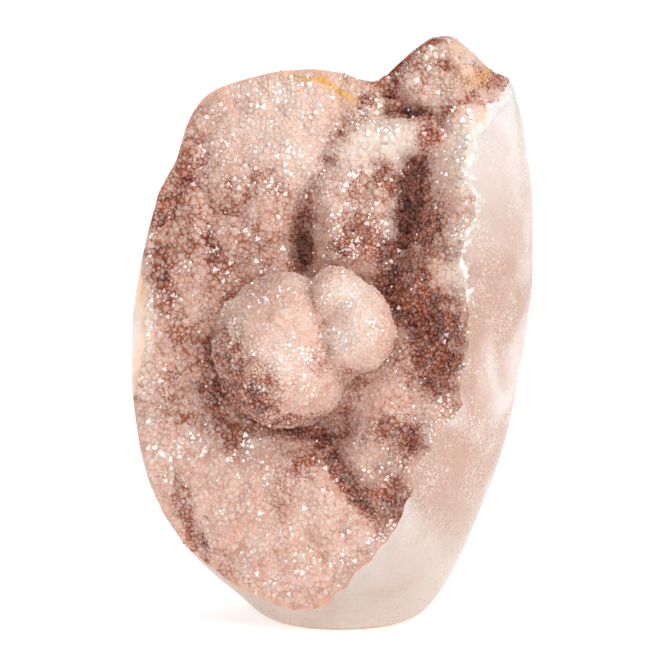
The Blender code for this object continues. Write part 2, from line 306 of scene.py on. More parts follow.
# The leaning lobe stands in its own valley, as high as the highest of these
LEANING_LOBE = (
    Patch(4.0, 90.5, 10.5, 10.0, 0, 10.0, 5.0),
    Patch(4.2, 99.0, 11.0, 9.5, -12, 10.5, 5.0),
    Patch(7.2, 108.0, 9.3, 8.0, -25, 10.5, 5.0),
    Patch(15.0, 112.8, 8.5, 4.4, -3, 10.0, 5.0),
)
LOBE_SWELLS = (
    Patch(-1.5, 96.5, 4.0, 6.0, -10, 1.4),
    Patch(6.5, 93.0, 4.5, 5.5, -20, 1.6),
    Patch(2.0, 104.0, 4.0, 5.0, -30, 1.2),
    Patch(11.5, 103.5, 3.5, 5.0, -30, 1.2),
    Patch(10.0, 111.0, 4.0, 4.0, 0, 1.2),
    Patch(17.5, 113.0, 4.0, 3.0, -20, 1.0),
    Patch(-1.0, 87.0, 3.5, 3.5, 0, 1.0),
    Patch(7.5, 85.0, 3.5, 3.5, 0, 1.0),
)
TIP = (
    Patch(23.0, 128.4, 11.2, 10.9, 20, 10.5, 4.5),
    Patch(17.5, 124.0, 4.0, 4.5, 0, 1.5),
    Patch(30.0, 128.0, 4.5, 4.0, 0, 1.5),
    Patch(24.5, 131.5, 5.0, 4.0, 0, 1.5),
    Patch(22.5, 122.0, 4.0, 3.0, 0, 1.2),
    Patch(20.0, 131.5, 2.8, 2.6, 0, 1.4),
    Patch(26.5, 133.5, 2.6, 2.6, 0, 1.4),
    Patch(17.0, 126.5, 2.4, 2.8, 0, 1.4),
    Patch(23.5, 127.5, 2.8, 2.8, 0, 1.6),
    Patch(29.0, 130.5, 2.6, 2.6, 0, 1.4),
    Patch(32.5, 127.0, 2.4, 2.2, 0, 1.4),
    Patch(20.5, 121.5, 2.4, 2.2, 0, 1.4),
    Patch(26.5, 122.5, 2.6, 2.2, 0, 1.4),
    Patch(13.2, 119.6, 1.9, 1.9, 0, 4.0, 4.0),
    Patch(8.8, 120.0, 2.6, 3.0, 0, 3.5, 3.0),
    Patch(8.5, 125.0, 3.2, 2.6, 0, 3.0, 3.0),
)
RIGHT_WALL = (
    Patch(29.0, 112.0, 4.5, 6.0, -20, 2.0),
    Patch(26.5, 101.5, 4.5, 5.0, 0, 2.2),
    Patch(26.0, 93.0, 4.0, 4.5, 0, 1.6),
    Patch(27.5, 84.5, 4.0, 4.5, 0, 2.0),
    Patch(21.5, 81.0, 4.0, 5.0, -10, 5.0),
    Patch(16.5, 77.0, 3.5, 5.5, 0, 4.5),
    Patch(25.0, 73.0, 4.0, 3.5, 0, 3.0),
    Patch(22.0, 64.0, 4.0, 4.0, 0, 3.4),
    Patch(24.0, 56.0, 4.0, 4.0, 0, 3.0),
    Patch(15.5, 62.5, 3.5, 5.5, 0, 3.0),
    Patch(11.5, 51.0, 5.5, 5.5, 0, 4.2, 2.6),
    Patch(19.0, 45.5, 5.5, 5.0, 0, 3.4, 2.6),
    Patch(8.0, 42.0, 4.0, 4.0, 0, 3.4),
    Patch(15.0, 36.5, 4.5, 4.0, 0, 3.2),
    Patch(10.5, 29.5, 3.5, 4.0, 0, 3.0),
    Patch(23.5, 48.5, 3.5, 3.5, 0, 1.6),
)
VALLEYS = (
    Patch(-8.2, 91.0, 3.6, 9.5, -5, -5.0, 2.2),
    Patch(-8.8, 86.0, 4.0, 5.5, 0, -3.5, 2.4),
    Patch(7.0, 99.0, 14.8, 20.5, -26, -11.5, 3.6),
    Patch(17.0, 98.0, 4.2, 13.0, -12, -5.0, 2.6),
    Patch(13.5, 82.0, 5.0, 9.0, 0, -5.0, 2.6),
    Patch(16.0, 118.8, 6.0, 2.5, 10, -3.0, 2.6),
    Patch(22.8, 129.2, 13.0, 10.9, 14, -14.5, 4.0),
    Patch(10.0, 123.5, 3.5, 5.0, 0, -3.0),
    Patch(37.0, 122.5, 4.6, 9.0, -20, -6.5, 2.6),
    Patch(40.5, 130.5, 5.0, 5.0, 0, -6.0, 2.6),
    Patch(-9.0, 63.0, 21.5, 21.5, 0, -7.0, 3.0),
    Patch(12.5, 70.0, 8.0, 14.0, 0, -6.0, 2.6),
    Patch(-2.0, 44.5, 13.0, 6.0, -20, -8.0, 2.6),
    Patch(1.6, 33.0, 3.4, 12.0, 33, -5.5, 2.6),
    Patch(12.0, 27.5, 3.5, 3.5, 0, -3.0),
    Patch(22.0, 67.5, 6.5, 13.0, 5, -8.0, 3.0),
    Patch(17.0, 51.0, 8.0, 12.0, 0, -4.0, 2.6),
    Patch(-35.0, 21.5, 2.5, 6.0, 25, -2.0),
    Patch(-26.5, 96.5, 2.5, 8.5, 60, -1.2),
    Patch(-6.5, 18.0, 2.0, 7.0, 30, -1.4),
    Patch(-31.5, 64.5, 2.5, 4.5, 70, -1.2),
    Patch(-13.5, 2.0, 20.0, 6.0, 0, -2.0, 2.0),
)
# Iron stains of the open face; those left of and below the knob also hold its cast shadow, painted
EDGE_STAINS_AND_PAINTED_SHADOW = (
    Patch(-33.0, 84.0, 9.0, 16.0, 10, 0.16),
    Patch(5.0, 98.0, 7.0, 8.0, -15, 0.12),
    Patch(-13.0, 97.5, 3.5, 7.0, 0, 0.40),
    Patch(-31.0, 88.0, 3.0, 8.5, 35, 0.50),
    Patch(-40.5, 95.0, 2.5, 4.0, 0, 0.45),
    Patch(-40.0, 56.0, 3.0, 5.0, 0, 0.45),
    Patch(-13.0, 28.0, 3.0, 8.0, 0, 0.28),
    Patch(-25.0, 40.0, 3.0, 4.0, 0, 0.30),
    Patch(-40.5, 76.0, 3.6, 12.0, 15, 0.60, 3.0),
    Patch(-37.0, 66.0, 3.0, 5.0, 30, 0.50),
    Patch(-36.0, 49.0, 7.0, 4.5, 0, 0.55),
    # Part iron stain, part painted shadow that the knob casts
    Patch(-25.0, 50.0, 9.0, 3.5, 0, 0.50),
    Patch(-38.0, 28.5, 3.0, 4.0, 0, 0.35),
    Patch(-30.0, 13.5, 8.0, 2.5, -42, 0.45),
    Patch(-20.0, 103.0, 5.0, 4.0, 0, 0.35),
    Patch(-35.0, 104.0, 4.0, 4.0, 0, 0.45),
    Patch(-8.0, 36.5, 5.5, 3.5, 20, 0.40),
    Patch(-40.5, 96.0, 4.0, 9.0, -12, 0.60),
    Patch(-34.5, 112.0, 4.5, 9.0, -20, 0.45),
    Patch(-33.0, 93.5, 8.0, 6.0, 0, 0.35),
    Patch(-25.0, 100.0, 7.0, 5.0, -20, 0.55),
    Patch(-20.0, 91.5, 5.0, 4.0, -20, 0.35),
    Patch(-27.0, 78.0, 7.0, 9.0, 25, 0.45),
    Patch(-40.5, 84.0, 4.0, 8.0, 0, 0.45),
    Patch(-19.0, 86.0, 6.0, 5.0, 0, 0.40),
    # These four patches lie where the knob casts its shadow: part iron stain, part painted shadow
    Patch(-28.5, 53.0, 4.5, 9.0, 15, 0.55),
    Patch(-32.0, 62.0, 4.0, 8.0, 0, 0.40),
    Patch(-19.0, 44.5, 8.0, 3.0, -5, 0.55),
    Patch(-27.0, 43.0, 5.0, 4.0, 0, 0.45),
    Patch(-36.5, 27.5, 2.5, 5.0, 10, 0.50),
    Patch(-34.5, 21.5, 2.5, 4.0, 0, 0.40),
    Patch(-12.0, 26.0, 3.0, 5.0, 0, 0.20),
    Patch(-9.0, 37.5, 5.0, 3.0, 0, 0.30),
)
LOBE_STAINS = (
    Patch(12.0, 100.8, 4.2, 3.2, 0, 0.55),
    Patch(5.0, 91.5, 6.0, 5.0, 0, 0.45),
    Patch(9.8, 86.3, 3.5, 3.0, 0, 0.65),
    Patch(2.0, 87.5, 4.5, 2.4, 0, 0.55),
    Patch(6.0, 103.5, 4.5, 5.0, 0, 0.22),
    Patch(4.0, 95.0, 8.0, 9.0, -12, 0.22),
)
# Iron stains in the valleys, made darker as painted shade of the valleys: part stain, part painted shade
VALLEY_STAINS_AND_PAINTED_SHADE = (
    Patch(20.8, 91.5, 2.8, 3.4, 0, 0.80),
    Patch(18.2, 81.0, 2.8, 3.2, 0, 0.50),
    Patch(22.0, 112.6, 2.8, 1.6, 0, 0.80),
    Patch(-7.8, 89.0, 3.4, 9.0, -4, 0.58, 2.0),
    Patch(-10.0, 82.0, 2.5, 2.5, 0, 0.50),
    Patch(-6.0, 100.0, 2.0, 4.5, -20, 0.45),
    Patch(-2.5, 107.0, 2.0, 6.0, -28, 0.35),
    Patch(2.0, 115.5, 2.5, 5.0, -40, 0.35),
    Patch(6.5, 121.8, 2.2, 1.8, 0, 0.80),
    Patch(20.6, 112.8, 2.3, 5.0, -22, 0.95),
    Patch(18.0, 104.5, 3.0, 5.5, -12, 1.00, 3.0),
    Patch(17.8, 96.5, 3.8, 7.5, 0, 1.10, 3.0),
    Patch(20.0, 92.0, 3.6, 4.0, 0, 0.80),
    Patch(23.0, 96.0, 3.5, 5.0, 0, 0.45),
    Patch(23.5, 85.5, 3.5, 4.0, 0, 0.40),
    Patch(13.3, 86.0, 1.9, 5.0, -20, 0.80),
    Patch(12.2, 79.5, 2.6, 6.0, -5, 1.00, 3.0),
    Patch(16.0, 76.0, 3.5, 3.5, 0, 0.90),
    Patch(19.0, 85.0, 4.0, 5.0, 0, 0.40),
    Patch(3.0, 85.5, 5.0, 3.0, 0, 0.45),
    Patch(8.5, 88.0, 4.0, 3.0, 0, 0.30),
    Patch(10.8, 105.8, 1.8, 2.2, 0, 0.60),
    Patch(11.0, 101.5, 3.0, 1.0, -35, 0.45),
    Patch(28.0, 88.0, 3.5, 4.0, 0, 0.28),
)
WALL_STAINS_AND_PAINTED_SHADE = (
    Patch(18.5, 70.0, 3.6, 6.5, 12, 0.60),
    Patch(24.0, 64.0, 3.0, 4.5, 10, 0.35),
    Patch(16.5, 97.0, 2.8, 7.0, -8, 0.35),
    Patch(19.5, 92.5, 3.0, 3.0, 0, 0.30),
    Patch(15.0, 41.5, 4.5, 5.5, -15, 0.35),
    Patch(7.5, 44.0, 4.0, 4.0, 0, 0.20),
    # These three patches darken the deep recess by the right wall: part iron stain, part painted shade
    Patch(19.5, 74.0, 6.5, 5.0, -10, 1.05, 3.0),
    Patch(22.5, 66.5, 5.5, 8.0, 15, 1.15, 3.0),
    Patch(23.5, 57.5, 4.2, 5.5, 10, 1.00, 3.0),
    Patch(16.0, 60.0, 3.2, 4.5, 10, 0.60),
    Patch(28.0, 66.0, 2.4, 11.0, 0, 0.45, 3.0),
    Patch(11.5, 79.5, 2.8, 6.0, 0, 1.00),
    Patch(12.5, 48.0, 4.0, 6.5, 0, 0.35),
    Patch(3.0, 52.5, 3.5, 4.0, 0, 0.55),
    Patch(16.5, 42.0, 3.2, 4.8, -20, 0.60),
    Patch(10.5, 44.5, 3.0, 4.0, 0, 0.40),
    Patch(12.5, 29.5, 4.2, 4.6, 0, 1.10),
    Patch(9.5, 25.5, 3.0, 2.6, 0, 0.55),
    Patch(8.0, 29.0, 3.2, 2.0, 0, 0.70),
    Patch(0.5, 34.0, 2.8, 11.0, 33, 0.90, 3.0),
    Patch(-9.5, 34.5, 3.0, 3.0, 0, 0.50),
    Patch(-7.5, 43.5, 7.0, 2.4, -8, 1.00, 3.0),
    Patch(6.0, 57.0, 2.5, 3.5, -30, 0.55),
    Patch(1.5, 47.0, 3.5, 3.5, 0, 0.50),
    Patch(14.5, 68.0, 2.5, 6.0, 10, 0.40),
)
TIP_STAINS_AND_PAINTED_SHADOW = (
    Patch(20.5, 135.0, 5.5, 2.4, 20, 0.50),
    Patch(30.0, 129.5, 3.0, 5.0, 0, 0.20),
    Patch(36.0, 126.6, 4.5, 2.2, -25, 0.55),
    # These three patches darken the tip's left and lower edges: part iron stain, part painted shadow of the
    # tip
    Patch(13.2, 123.5, 2.4, 6.2, -5, 0.90, 3.0),
    Patch(18.5, 117.9, 5.5, 1.6, 5, 0.90, 3.0),
    Patch(27.5, 120.2, 6.0, 1.5, 35, 0.60, 3.0),
    Patch(15.8, 130.5, 4.5, 2.5, 42, 0.45),
    Patch(24.0, 127.0, 10.5, 9.0, 0, 0.24),
    Patch(19.0, 125.5, 1.2, 6.0, 5, 0.30),
    Patch(8.5, 125.0, 3.2, 2.6, 0, 0.50),
    Patch(6.3, 121.0, 1.6, 1.2, 0, 0.80),
    Patch(37.0, 127.6, 2.0, 1.6, 25, 0.60),
)
# All stains of the open face, with painted shade and painted shadow among them
STAINS_AND_PAINTED_SHADE = EDGE_STAINS_AND_PAINTED_SHADOW + LOBE_STAINS + VALLEY_STAINS_AND_PAINTED_SHADE + WALL_STAINS_AND_PAINTED_SHADE + TIP_STAINS_AND_PAINTED_SHADOW
# Iron stains of the knob, with painted shade on its left and lower flanks and in the crease under it
KNOB_STAINS_AND_PAINTED_SHADE = (
    Patch(-19.5, 56.0, 4.5, 8.0, 20, 0.32),
    Patch(-4.0, 60.0, 3.0, 4.0, -20, 0.28),
    Patch(-26.5, 60.0, 4.0, 10.0, 5, 0.75),
    Patch(-22.0, 51.5, 6.5, 6.0, -30, 1.05),
    Patch(-11.0, 46.0, 9.0, 2.5, 0, 0.60),
    Patch(-18.0, 79.0, 8.0, 2.5, 15, 0.20),
    Patch(-4.6, 69.0, 1.5, 11.0, 16, 0.30),
    Patch(3.0, 56.5, 3.5, 3.5, 0, 0.30),
)
# Clusters of points whose faces flash in the light
FLASHES = (
    Patch(-12.5, 60.0, 3.6, 5.0, -25, 0.50),
    Patch(1.5, 77.5, 4.0, 3.0, 0, 0.18),
    Patch(-1.0, 66.0, 3.0, 3.0, 0, 0.30),
    Patch(-20.0, 101.0, 4.5, 5.0, 0, 0.30),
    Patch(-4.0, 99.0, 3.0, 6.0, 0, 0.22),
    Patch(-12.0, 109.0, 4.0, 4.0, 0, 0.18),
    Patch(-5.0, 117.0, 4.0, 4.5, 0, 0.22),
    Patch(-21.0, 117.0, 5.0, 6.0, 0, 0.22),
    Patch(-12.0, 123.0, 8.0, 4.0, 0, 0.10),
    Patch(7.0, 114.0, 9.0, 4.0, 0, 0.20),
    Patch(13.0, 106.0, 3.0, 3.0, 0, 0.22),
    Patch(3.5, 87.0, 3.5, 3.0, 0, 0.20),
    Patch(27.5, 77.0, 3.0, 4.0, 0, 0.35),
    Patch(28.5, 110.0, 3.5, 8.0, 0, 0.25),
    Patch(-20.0, 37.0, 5.0, 3.5, 0, 0.25),
    Patch(-28.0, 28.0, 4.0, 4.0, 0, 0.30),
    Patch(-43.0, 94.0, 3.0, 9.0, -15, 0.20),
    Patch(-37.0, 78.0, 4.0, 4.0, 0, 0.25),
    Patch(-44.0, 45.0, 3.5, 5.0, 0, 0.20),
    Patch(12.0, 37.0, 3.6, 4.0, 0, 0.32),
    Patch(19.0, 45.0, 3.5, 3.5, 0, 0.18),
    Patch(-21.0, 13.0, 3.5, 4.0, 0, 0.20),
    Patch(3.0, 21.0, 4.0, 4.0, 0, 0.18),
)
# Painted highlights on the knob: pale patches where its points catch the light
KNOB_PAINTED_HIGHLIGHTS = (
    Patch(-12.5, 60.0, 4.5, 7.0, -25, 0.50),
    Patch(-1.0, 65.0, 3.5, 4.0, 0, 0.60),
    Patch(2.0, 77.0, 5.0, 3.5, 0, 0.70),
    Patch(5.0, 70.5, 3.5, 6.0, 0, 0.60),
)
# Milky white crusts, and a painted highlight on the top of the brow
CREAM_AND_PAINTED_HIGHLIGHT = (
    Patch(23.5, 128.0, 8.5, 8.0, 0, 0.35, 3.0),
    Patch(30.5, 132.0, 3.0, 4.5, 40, 0.50),
    # Part paler quartz, part painted highlight where the brow's top faces the light from above
    Patch(-12.0, 124.5, 11.0, 4.0, 0, 0.35),
    Patch(-12.0, 111.0, 13.0, 13.0, 0, 0.40, 3.0),
    Patch(5.0, 97.0, 7.0, 8.0, -15, 0.30),
    Patch(-46.0, 87.0, 2.5, 9.0, -8, 0.30),
    Patch(-49.0, 68.0, 4.5, 14.0, 0, 1.00, 3.0),
    Patch(13.0, 111.5, 9.5, 6.0, -12, 1.00, 4.0),
    Patch(3.5, 107.5, 5.0, 5.0, -20, 0.60),
    Patch(13.2, 93.5, 2.2, 8.0, 0, 0.70),
    Patch(10.0, 101.0, 4.0, 4.0, 0, 0.35),
    Patch(9.0, 120.0, 3.0, 2.6, 0, 0.80),
    Patch(31.0, 112.0, 6.0, 10.0, -15, 0.60, 3.0),
    Patch(27.0, 80.5, 5.0, 3.2, 0, 0.60),
    Patch(-46.5, 69.0, 2.5, 8.0, 0, 0.50),
)
# Yellow ochre streaks
OCHRE = (
    Patch(-12.5, 127.6, 3.4, 0.8, -10, 0.40),
    Patch(-6.5, 126.5, 4.2, 0.8, -8, 0.75),
    Patch(-2.0, 125.0, 3.2, 0.9, -32, 0.85),
    Patch(1.5, 122.9, 3.0, 0.8, -30, 0.85),
    Patch(5.0, 121.2, 2.4, 0.7, -14, 0.75),
    Patch(34.0, 127.0, 3.2, 2.4, 30, 0.80),
    Patch(28.0, 134.0, 2.6, 2.0, 0, 0.35),
    Patch(29.0, 127.0, 4.0, 4.0, 0, 0.22),
    Patch(-46.5, 76.5, 1.5, 2.0, 0, 0.35),
)


@dataclass(frozen=True)
class OuterForm:
    """The freeform's polished outside, as sections up its height, in millimetres."""

    # height, left, right, front, back
    sections: tuple[tuple[float, ...], ...] = (
        (0.0, -16.5, 17.0, -15.0, 15.0),
        (1.5, -19.2, 20.0, -17.5, 17.0),
        (6.0, -24.2, 24.0, -20.5, 21.0),
        (11.0, -30.0, 27.0, -23.0, 24.0),
        (16.0, -35.0, 29.5, -25.0, 26.5),
        (21.0, -39.0, 31.5, -26.5, 28.5),
        (26.0, -42.0, 33.5, -28.0, 30.0),
        (35.0, -45.7, 37.0, -29.5, 32.5),
        (45.0, -47.8, 40.0, -30.3, 35.0),
        (57.0, -49.0, 42.5, -30.5, 37.0),
        (69.0, -48.9, 44.5, -30.0, 38.5),
        (83.0, -47.0, 45.8, -28.0, 38.8),
        (97.5, -43.5, 45.8, -25.0, 37.5),
        (107.0, -41.0, 45.1, -22.0, 36.0),
        (116.0, -38.5, 44.1, -18.0, 33.5),
        (122.0, -37.3, 43.4, -14.0, 31.0),
        (126.5, -36.2, 42.1, -9.5, 28.0),
        (130.0, -34.4, 40.5, -7.0, 25.0),
        (132.5, -31.0, 37.5, -5.0, 20.0),
        (134.0, -25.0, 33.0, -3.0, 15.0),
        (134.3, -22.0, 31.0, 4.0, 4.0),
    )
    # x and height of the top edge
    top_edge: tuple[tuple[float, float], ...] = (
        (-38.0, 119.5),
        (-36.0, 122.5),
        (-34.0, 125.0),
        (-31.5, 127.0),
        (-27.5, 128.4),
        (-21.5, 129.8),
        (-13.5, 131.2),
        (-7.5, 131.4),
        (0.5, 130.4),
        (6.5, 128.6),
        (9.0, 128.4),
        (11.5, 130.2),
        (14.5, 133.2),
        (18.5, 136.6),
        (22.5, 139.0),
        (25.5, 139.2),
        (29.5, 136.8),
        (33.5, 133.2),
        (36.5, 131.8),
        (40.5, 132.4),
        (44.5, 127.0),
    )
    roundness: float = 2.3
    base_roundness: float = 2.0
    round_by: float = 60.0
    # Height from which sections are drawn up to the top edge, and how the top falls off behind it
    top_start: float = 100.0
    back_fall: float = 0.3
    fall_start: float = 2.5
    # Heights where the spacing of the rings changes, and how many rings each stretch has
    ring_stops: tuple[float, ...] = (0.0, 6.0, 126.0)
    ring_counts: tuple[int, ...] = (10, 101, 22)
    ring_points: int = 220
    # Smallest sizes that are divided by, and the reach given to places over the top
    least_rise: float = 1.0
    least_half: float = 0.1
    past_top: float = 1.1

    @property
    def section_top(self) -> float:
        """Height of the last section, before the top is drawn up."""
        return self.sections[-1][0]

    def limits(self, height: Array) -> tuple[Array, Array, Array, Array, Array]:
        """Reads the section at each height.

        Args:
            height: Heights before the top is lifted.

        Returns:
            Middle x, middle y, half width, half depth and roundness of the section.
        """
        table = np.array(self.sections)
        left, right, front, back = (smooth_curve(table, k, height) for k in (1, 2, 3, 4))
        roundness = np.minimum(self.roundness, self.base_roundness + height / self.round_by)
        return (left + right) / 2, (front + back) / 2, (right - left) / 2, (back - front) / 2, roundness

    def top_at(self, x: Array, y: Array) -> Array:
        """Height that the top reaches at each place, seen from above."""
        top = smooth_curve(np.array(self.top_edge), 1, x)
        return top - self.back_fall * np.maximum(0.0, y - self.fall_start)

    def lifted(self, x: Array, y: Array, height: Array) -> Array:
        """Draws points up to the top edge.

        Args:
            x: Places across.
            y: Places from front to back.
            height: Heights before the top is drawn up.

        Returns:
            The final heights.
        """
        share = (height - self.top_start) / (self.section_top - self.top_start)
        drawn = self.top_start + (self.top_at(x, y) - self.top_start) * share
        return np.where(height > self.top_start, drawn, height)

    def reach(self, points: Array) -> Array:
        """Tells how far out points are.

        Args:
            points: Rows of x, y, z, in millimetres.

        Returns:
            1 on the polished surface, less inside it and more outside.
        """
        x, y, z = points.T
        span = self.section_top - self.top_start
        share = (z - self.top_start) / np.maximum(self.top_at(x, y) - self.top_start, self.least_rise)
        height = np.where(z > self.top_start, self.top_start + share * span, z)
        middle_x, middle_y, half_x, half_y, roundness = self.limits(height)
        across = np.abs((x - middle_x) / np.maximum(half_x, self.least_half))
        along = np.abs((y - middle_y) / np.maximum(half_y, self.least_half))
        value = (across**roundness + along**roundness) ** (1.0 / roundness)
        return np.where(height > self.section_top, np.maximum(value, self.past_top), value)

    def solid(self, name: str) -> bpy.types.Object:
        """Lofts the whole freeform before its front is opened.

        Args:
            name: The new object's name.

        Returns:
            A closed mesh object.
        """
        stops = (*self.ring_stops, self.section_top)
        stretches = zip(stops, stops[1:], self.ring_counts)
        heights = np.unique(np.concatenate([np.linspace(*stretch) for stretch in stretches]))
        angle = np.linspace(0.0, FULL_TURN, self.ring_points, endpoint=False)
        middle_x, middle_y, half_x, half_y, roundness = (part[:, None] for part in self.limits(heights))
        power = 2.0 / roundness
        x = middle_x + half_x * np.sign(np.cos(angle)) * np.abs(np.cos(angle)) ** power
        y = middle_y + half_y * np.sign(np.sin(angle)) * np.abs(np.sin(angle)) ** power
        z = self.lifted(x, y, np.repeat(heights[:, None], self.ring_points, axis=1))
        points = np.stack([x, y, z], axis=-1).reshape(-1, 3)
        around = self.ring_points
        first = np.arange(len(heights) - 1)[:, None] * around
        lower = first + np.arange(around)[None, :]
        after = first + (np.arange(around)[None, :] + 1) % around
        quads = np.stack([lower, after, after + around, lower + around], axis=-1).reshape(-1, 4)
        mesh = bpy.data.meshes.new(name)
        mesh.from_pydata(points * MM, [], [list(range(around))[::-1]] + quads.tolist())
        bm = bmesh.new()
        bm.from_mesh(mesh)
        bmesh.ops.remove_doubles(bm, verts=bm.verts[:], dist=LOFT_WELD)
        bmesh.ops.triangulate(bm, faces=bm.faces[:])
        bm.to_mesh(mesh)
        bm.free()
        return add_object(name, mesh)


def add_object(name: str, mesh: bpy.types.Mesh) -> bpy.types.Object:
    """Makes an object of a mesh and puts it in the scene.

    Args:
        name: The new object's name.
        mesh: Its mesh.

    Returns:
        The new object.
    """
    obj = bpy.data.objects.new(name, mesh)
    bpy.context.scene.collection.objects.link(obj)
    return obj


def combine(target: bpy.types.Object, tool: bpy.types.Object, way: Join) -> None:
    """Combines two closed solids and removes the second.

    Args:
        target: The solid that takes the result.
        tool: The solid that it is combined with.
        way: How they are combined.
    """
    modifier = target.modifiers.new("join", "BOOLEAN")
    modifier.solver = "MANIFOLD"
    modifier.operation = way.value
    modifier.object = tool
    graph = bpy.context.evaluated_depsgraph_get()
    mesh = bpy.data.meshes.new_from_object(target.evaluated_get(graph))
    target.modifiers.clear()
    target.data = mesh
    mesh.name = target.name
    bpy.data.objects.remove(tool, do_unlink=True)


def keep_largest(obj: bpy.types.Object) -> None:
    """Drops the chips that a cut leaves beside the main body.

    Args:
        obj: The mesh object to clean.
    """
    bm = bmesh.new()
    bm.from_mesh(obj.data)
    bmesh.ops.remove_doubles(bm, verts=bm.verts[:], dist=CUT_WELD)
    bmesh.ops.triangulate(bm, faces=bm.faces[:])
    unseen = set(bm.verts)
    bodies = []
    while unseen:
        body = {unseen.pop()}
        edge_of = list(body)
        while edge_of:
            vert = edge_of.pop()
            for edge in vert.link_edges:
                other = edge.other_vert(vert)
                if other in unseen:
                    unseen.remove(other)
                    body.add(other)
                    edge_of.append(other)
        bodies.append(body)
    bodies.sort(key=len)
    for body in bodies[:-1]:
        bmesh.ops.delete(bm, geom=list(body), context="VERTS")
    bm.to_mesh(obj.data)
    bm.free()


def points_of(mesh: bpy.types.Mesh) -> Array:
    """Reads the mesh's points.

    Args:
        mesh: The mesh to read.

    Returns:
        Rows of x, y, z, in millimetres.
    """
    found = np.zeros(len(mesh.vertices) * 3)
    mesh.vertices.foreach_get("co", found)
    return found.reshape(-1, 3) / MM


def triangles_of(mesh: bpy.types.Mesh) -> Array:
    """Reads a mesh of triangles.

    Args:
        mesh: The mesh to read.

    Returns:
        Rows of three point numbers.
    """
    corners = np.zeros(len(mesh.loops), dtype=np.int32)
    mesh.loops.foreach_get("vertex_index", corners)
    return corners.reshape(-1, 3)


def normals_of(mesh: bpy.types.Mesh) -> Array:
    """Reads the smooth direction out of a mesh at its points.

    Args:
        mesh: The mesh to read.

    Returns:
        Rows of directions of length 1.
    """
    found = np.zeros(len(mesh.vertices) * 3, dtype=np.float32)
    mesh.vertex_normals.foreach_get("vector", found)
    return found.reshape(-1, 3).astype(float)


def tree_of(points: Array) -> KDTree:
    """Sorts points so that those near a place are found quickly.

    Args:
        points: Rows of x, y, z.

    Returns:
        The sorted points.
    """
    tree = KDTree(len(points))
    for number, point in enumerate(points):
        tree.insert(point, number)
    tree.balance()
    return tree


def set_value(mesh: bpy.types.Mesh, name: str, values: Array) -> None:
    """Stores one number a point under a name that the finishes read."""
    attribute = mesh.attributes.new(name, "FLOAT", "POINT")
    attribute.data.foreach_set("value", values.astype(np.float32))


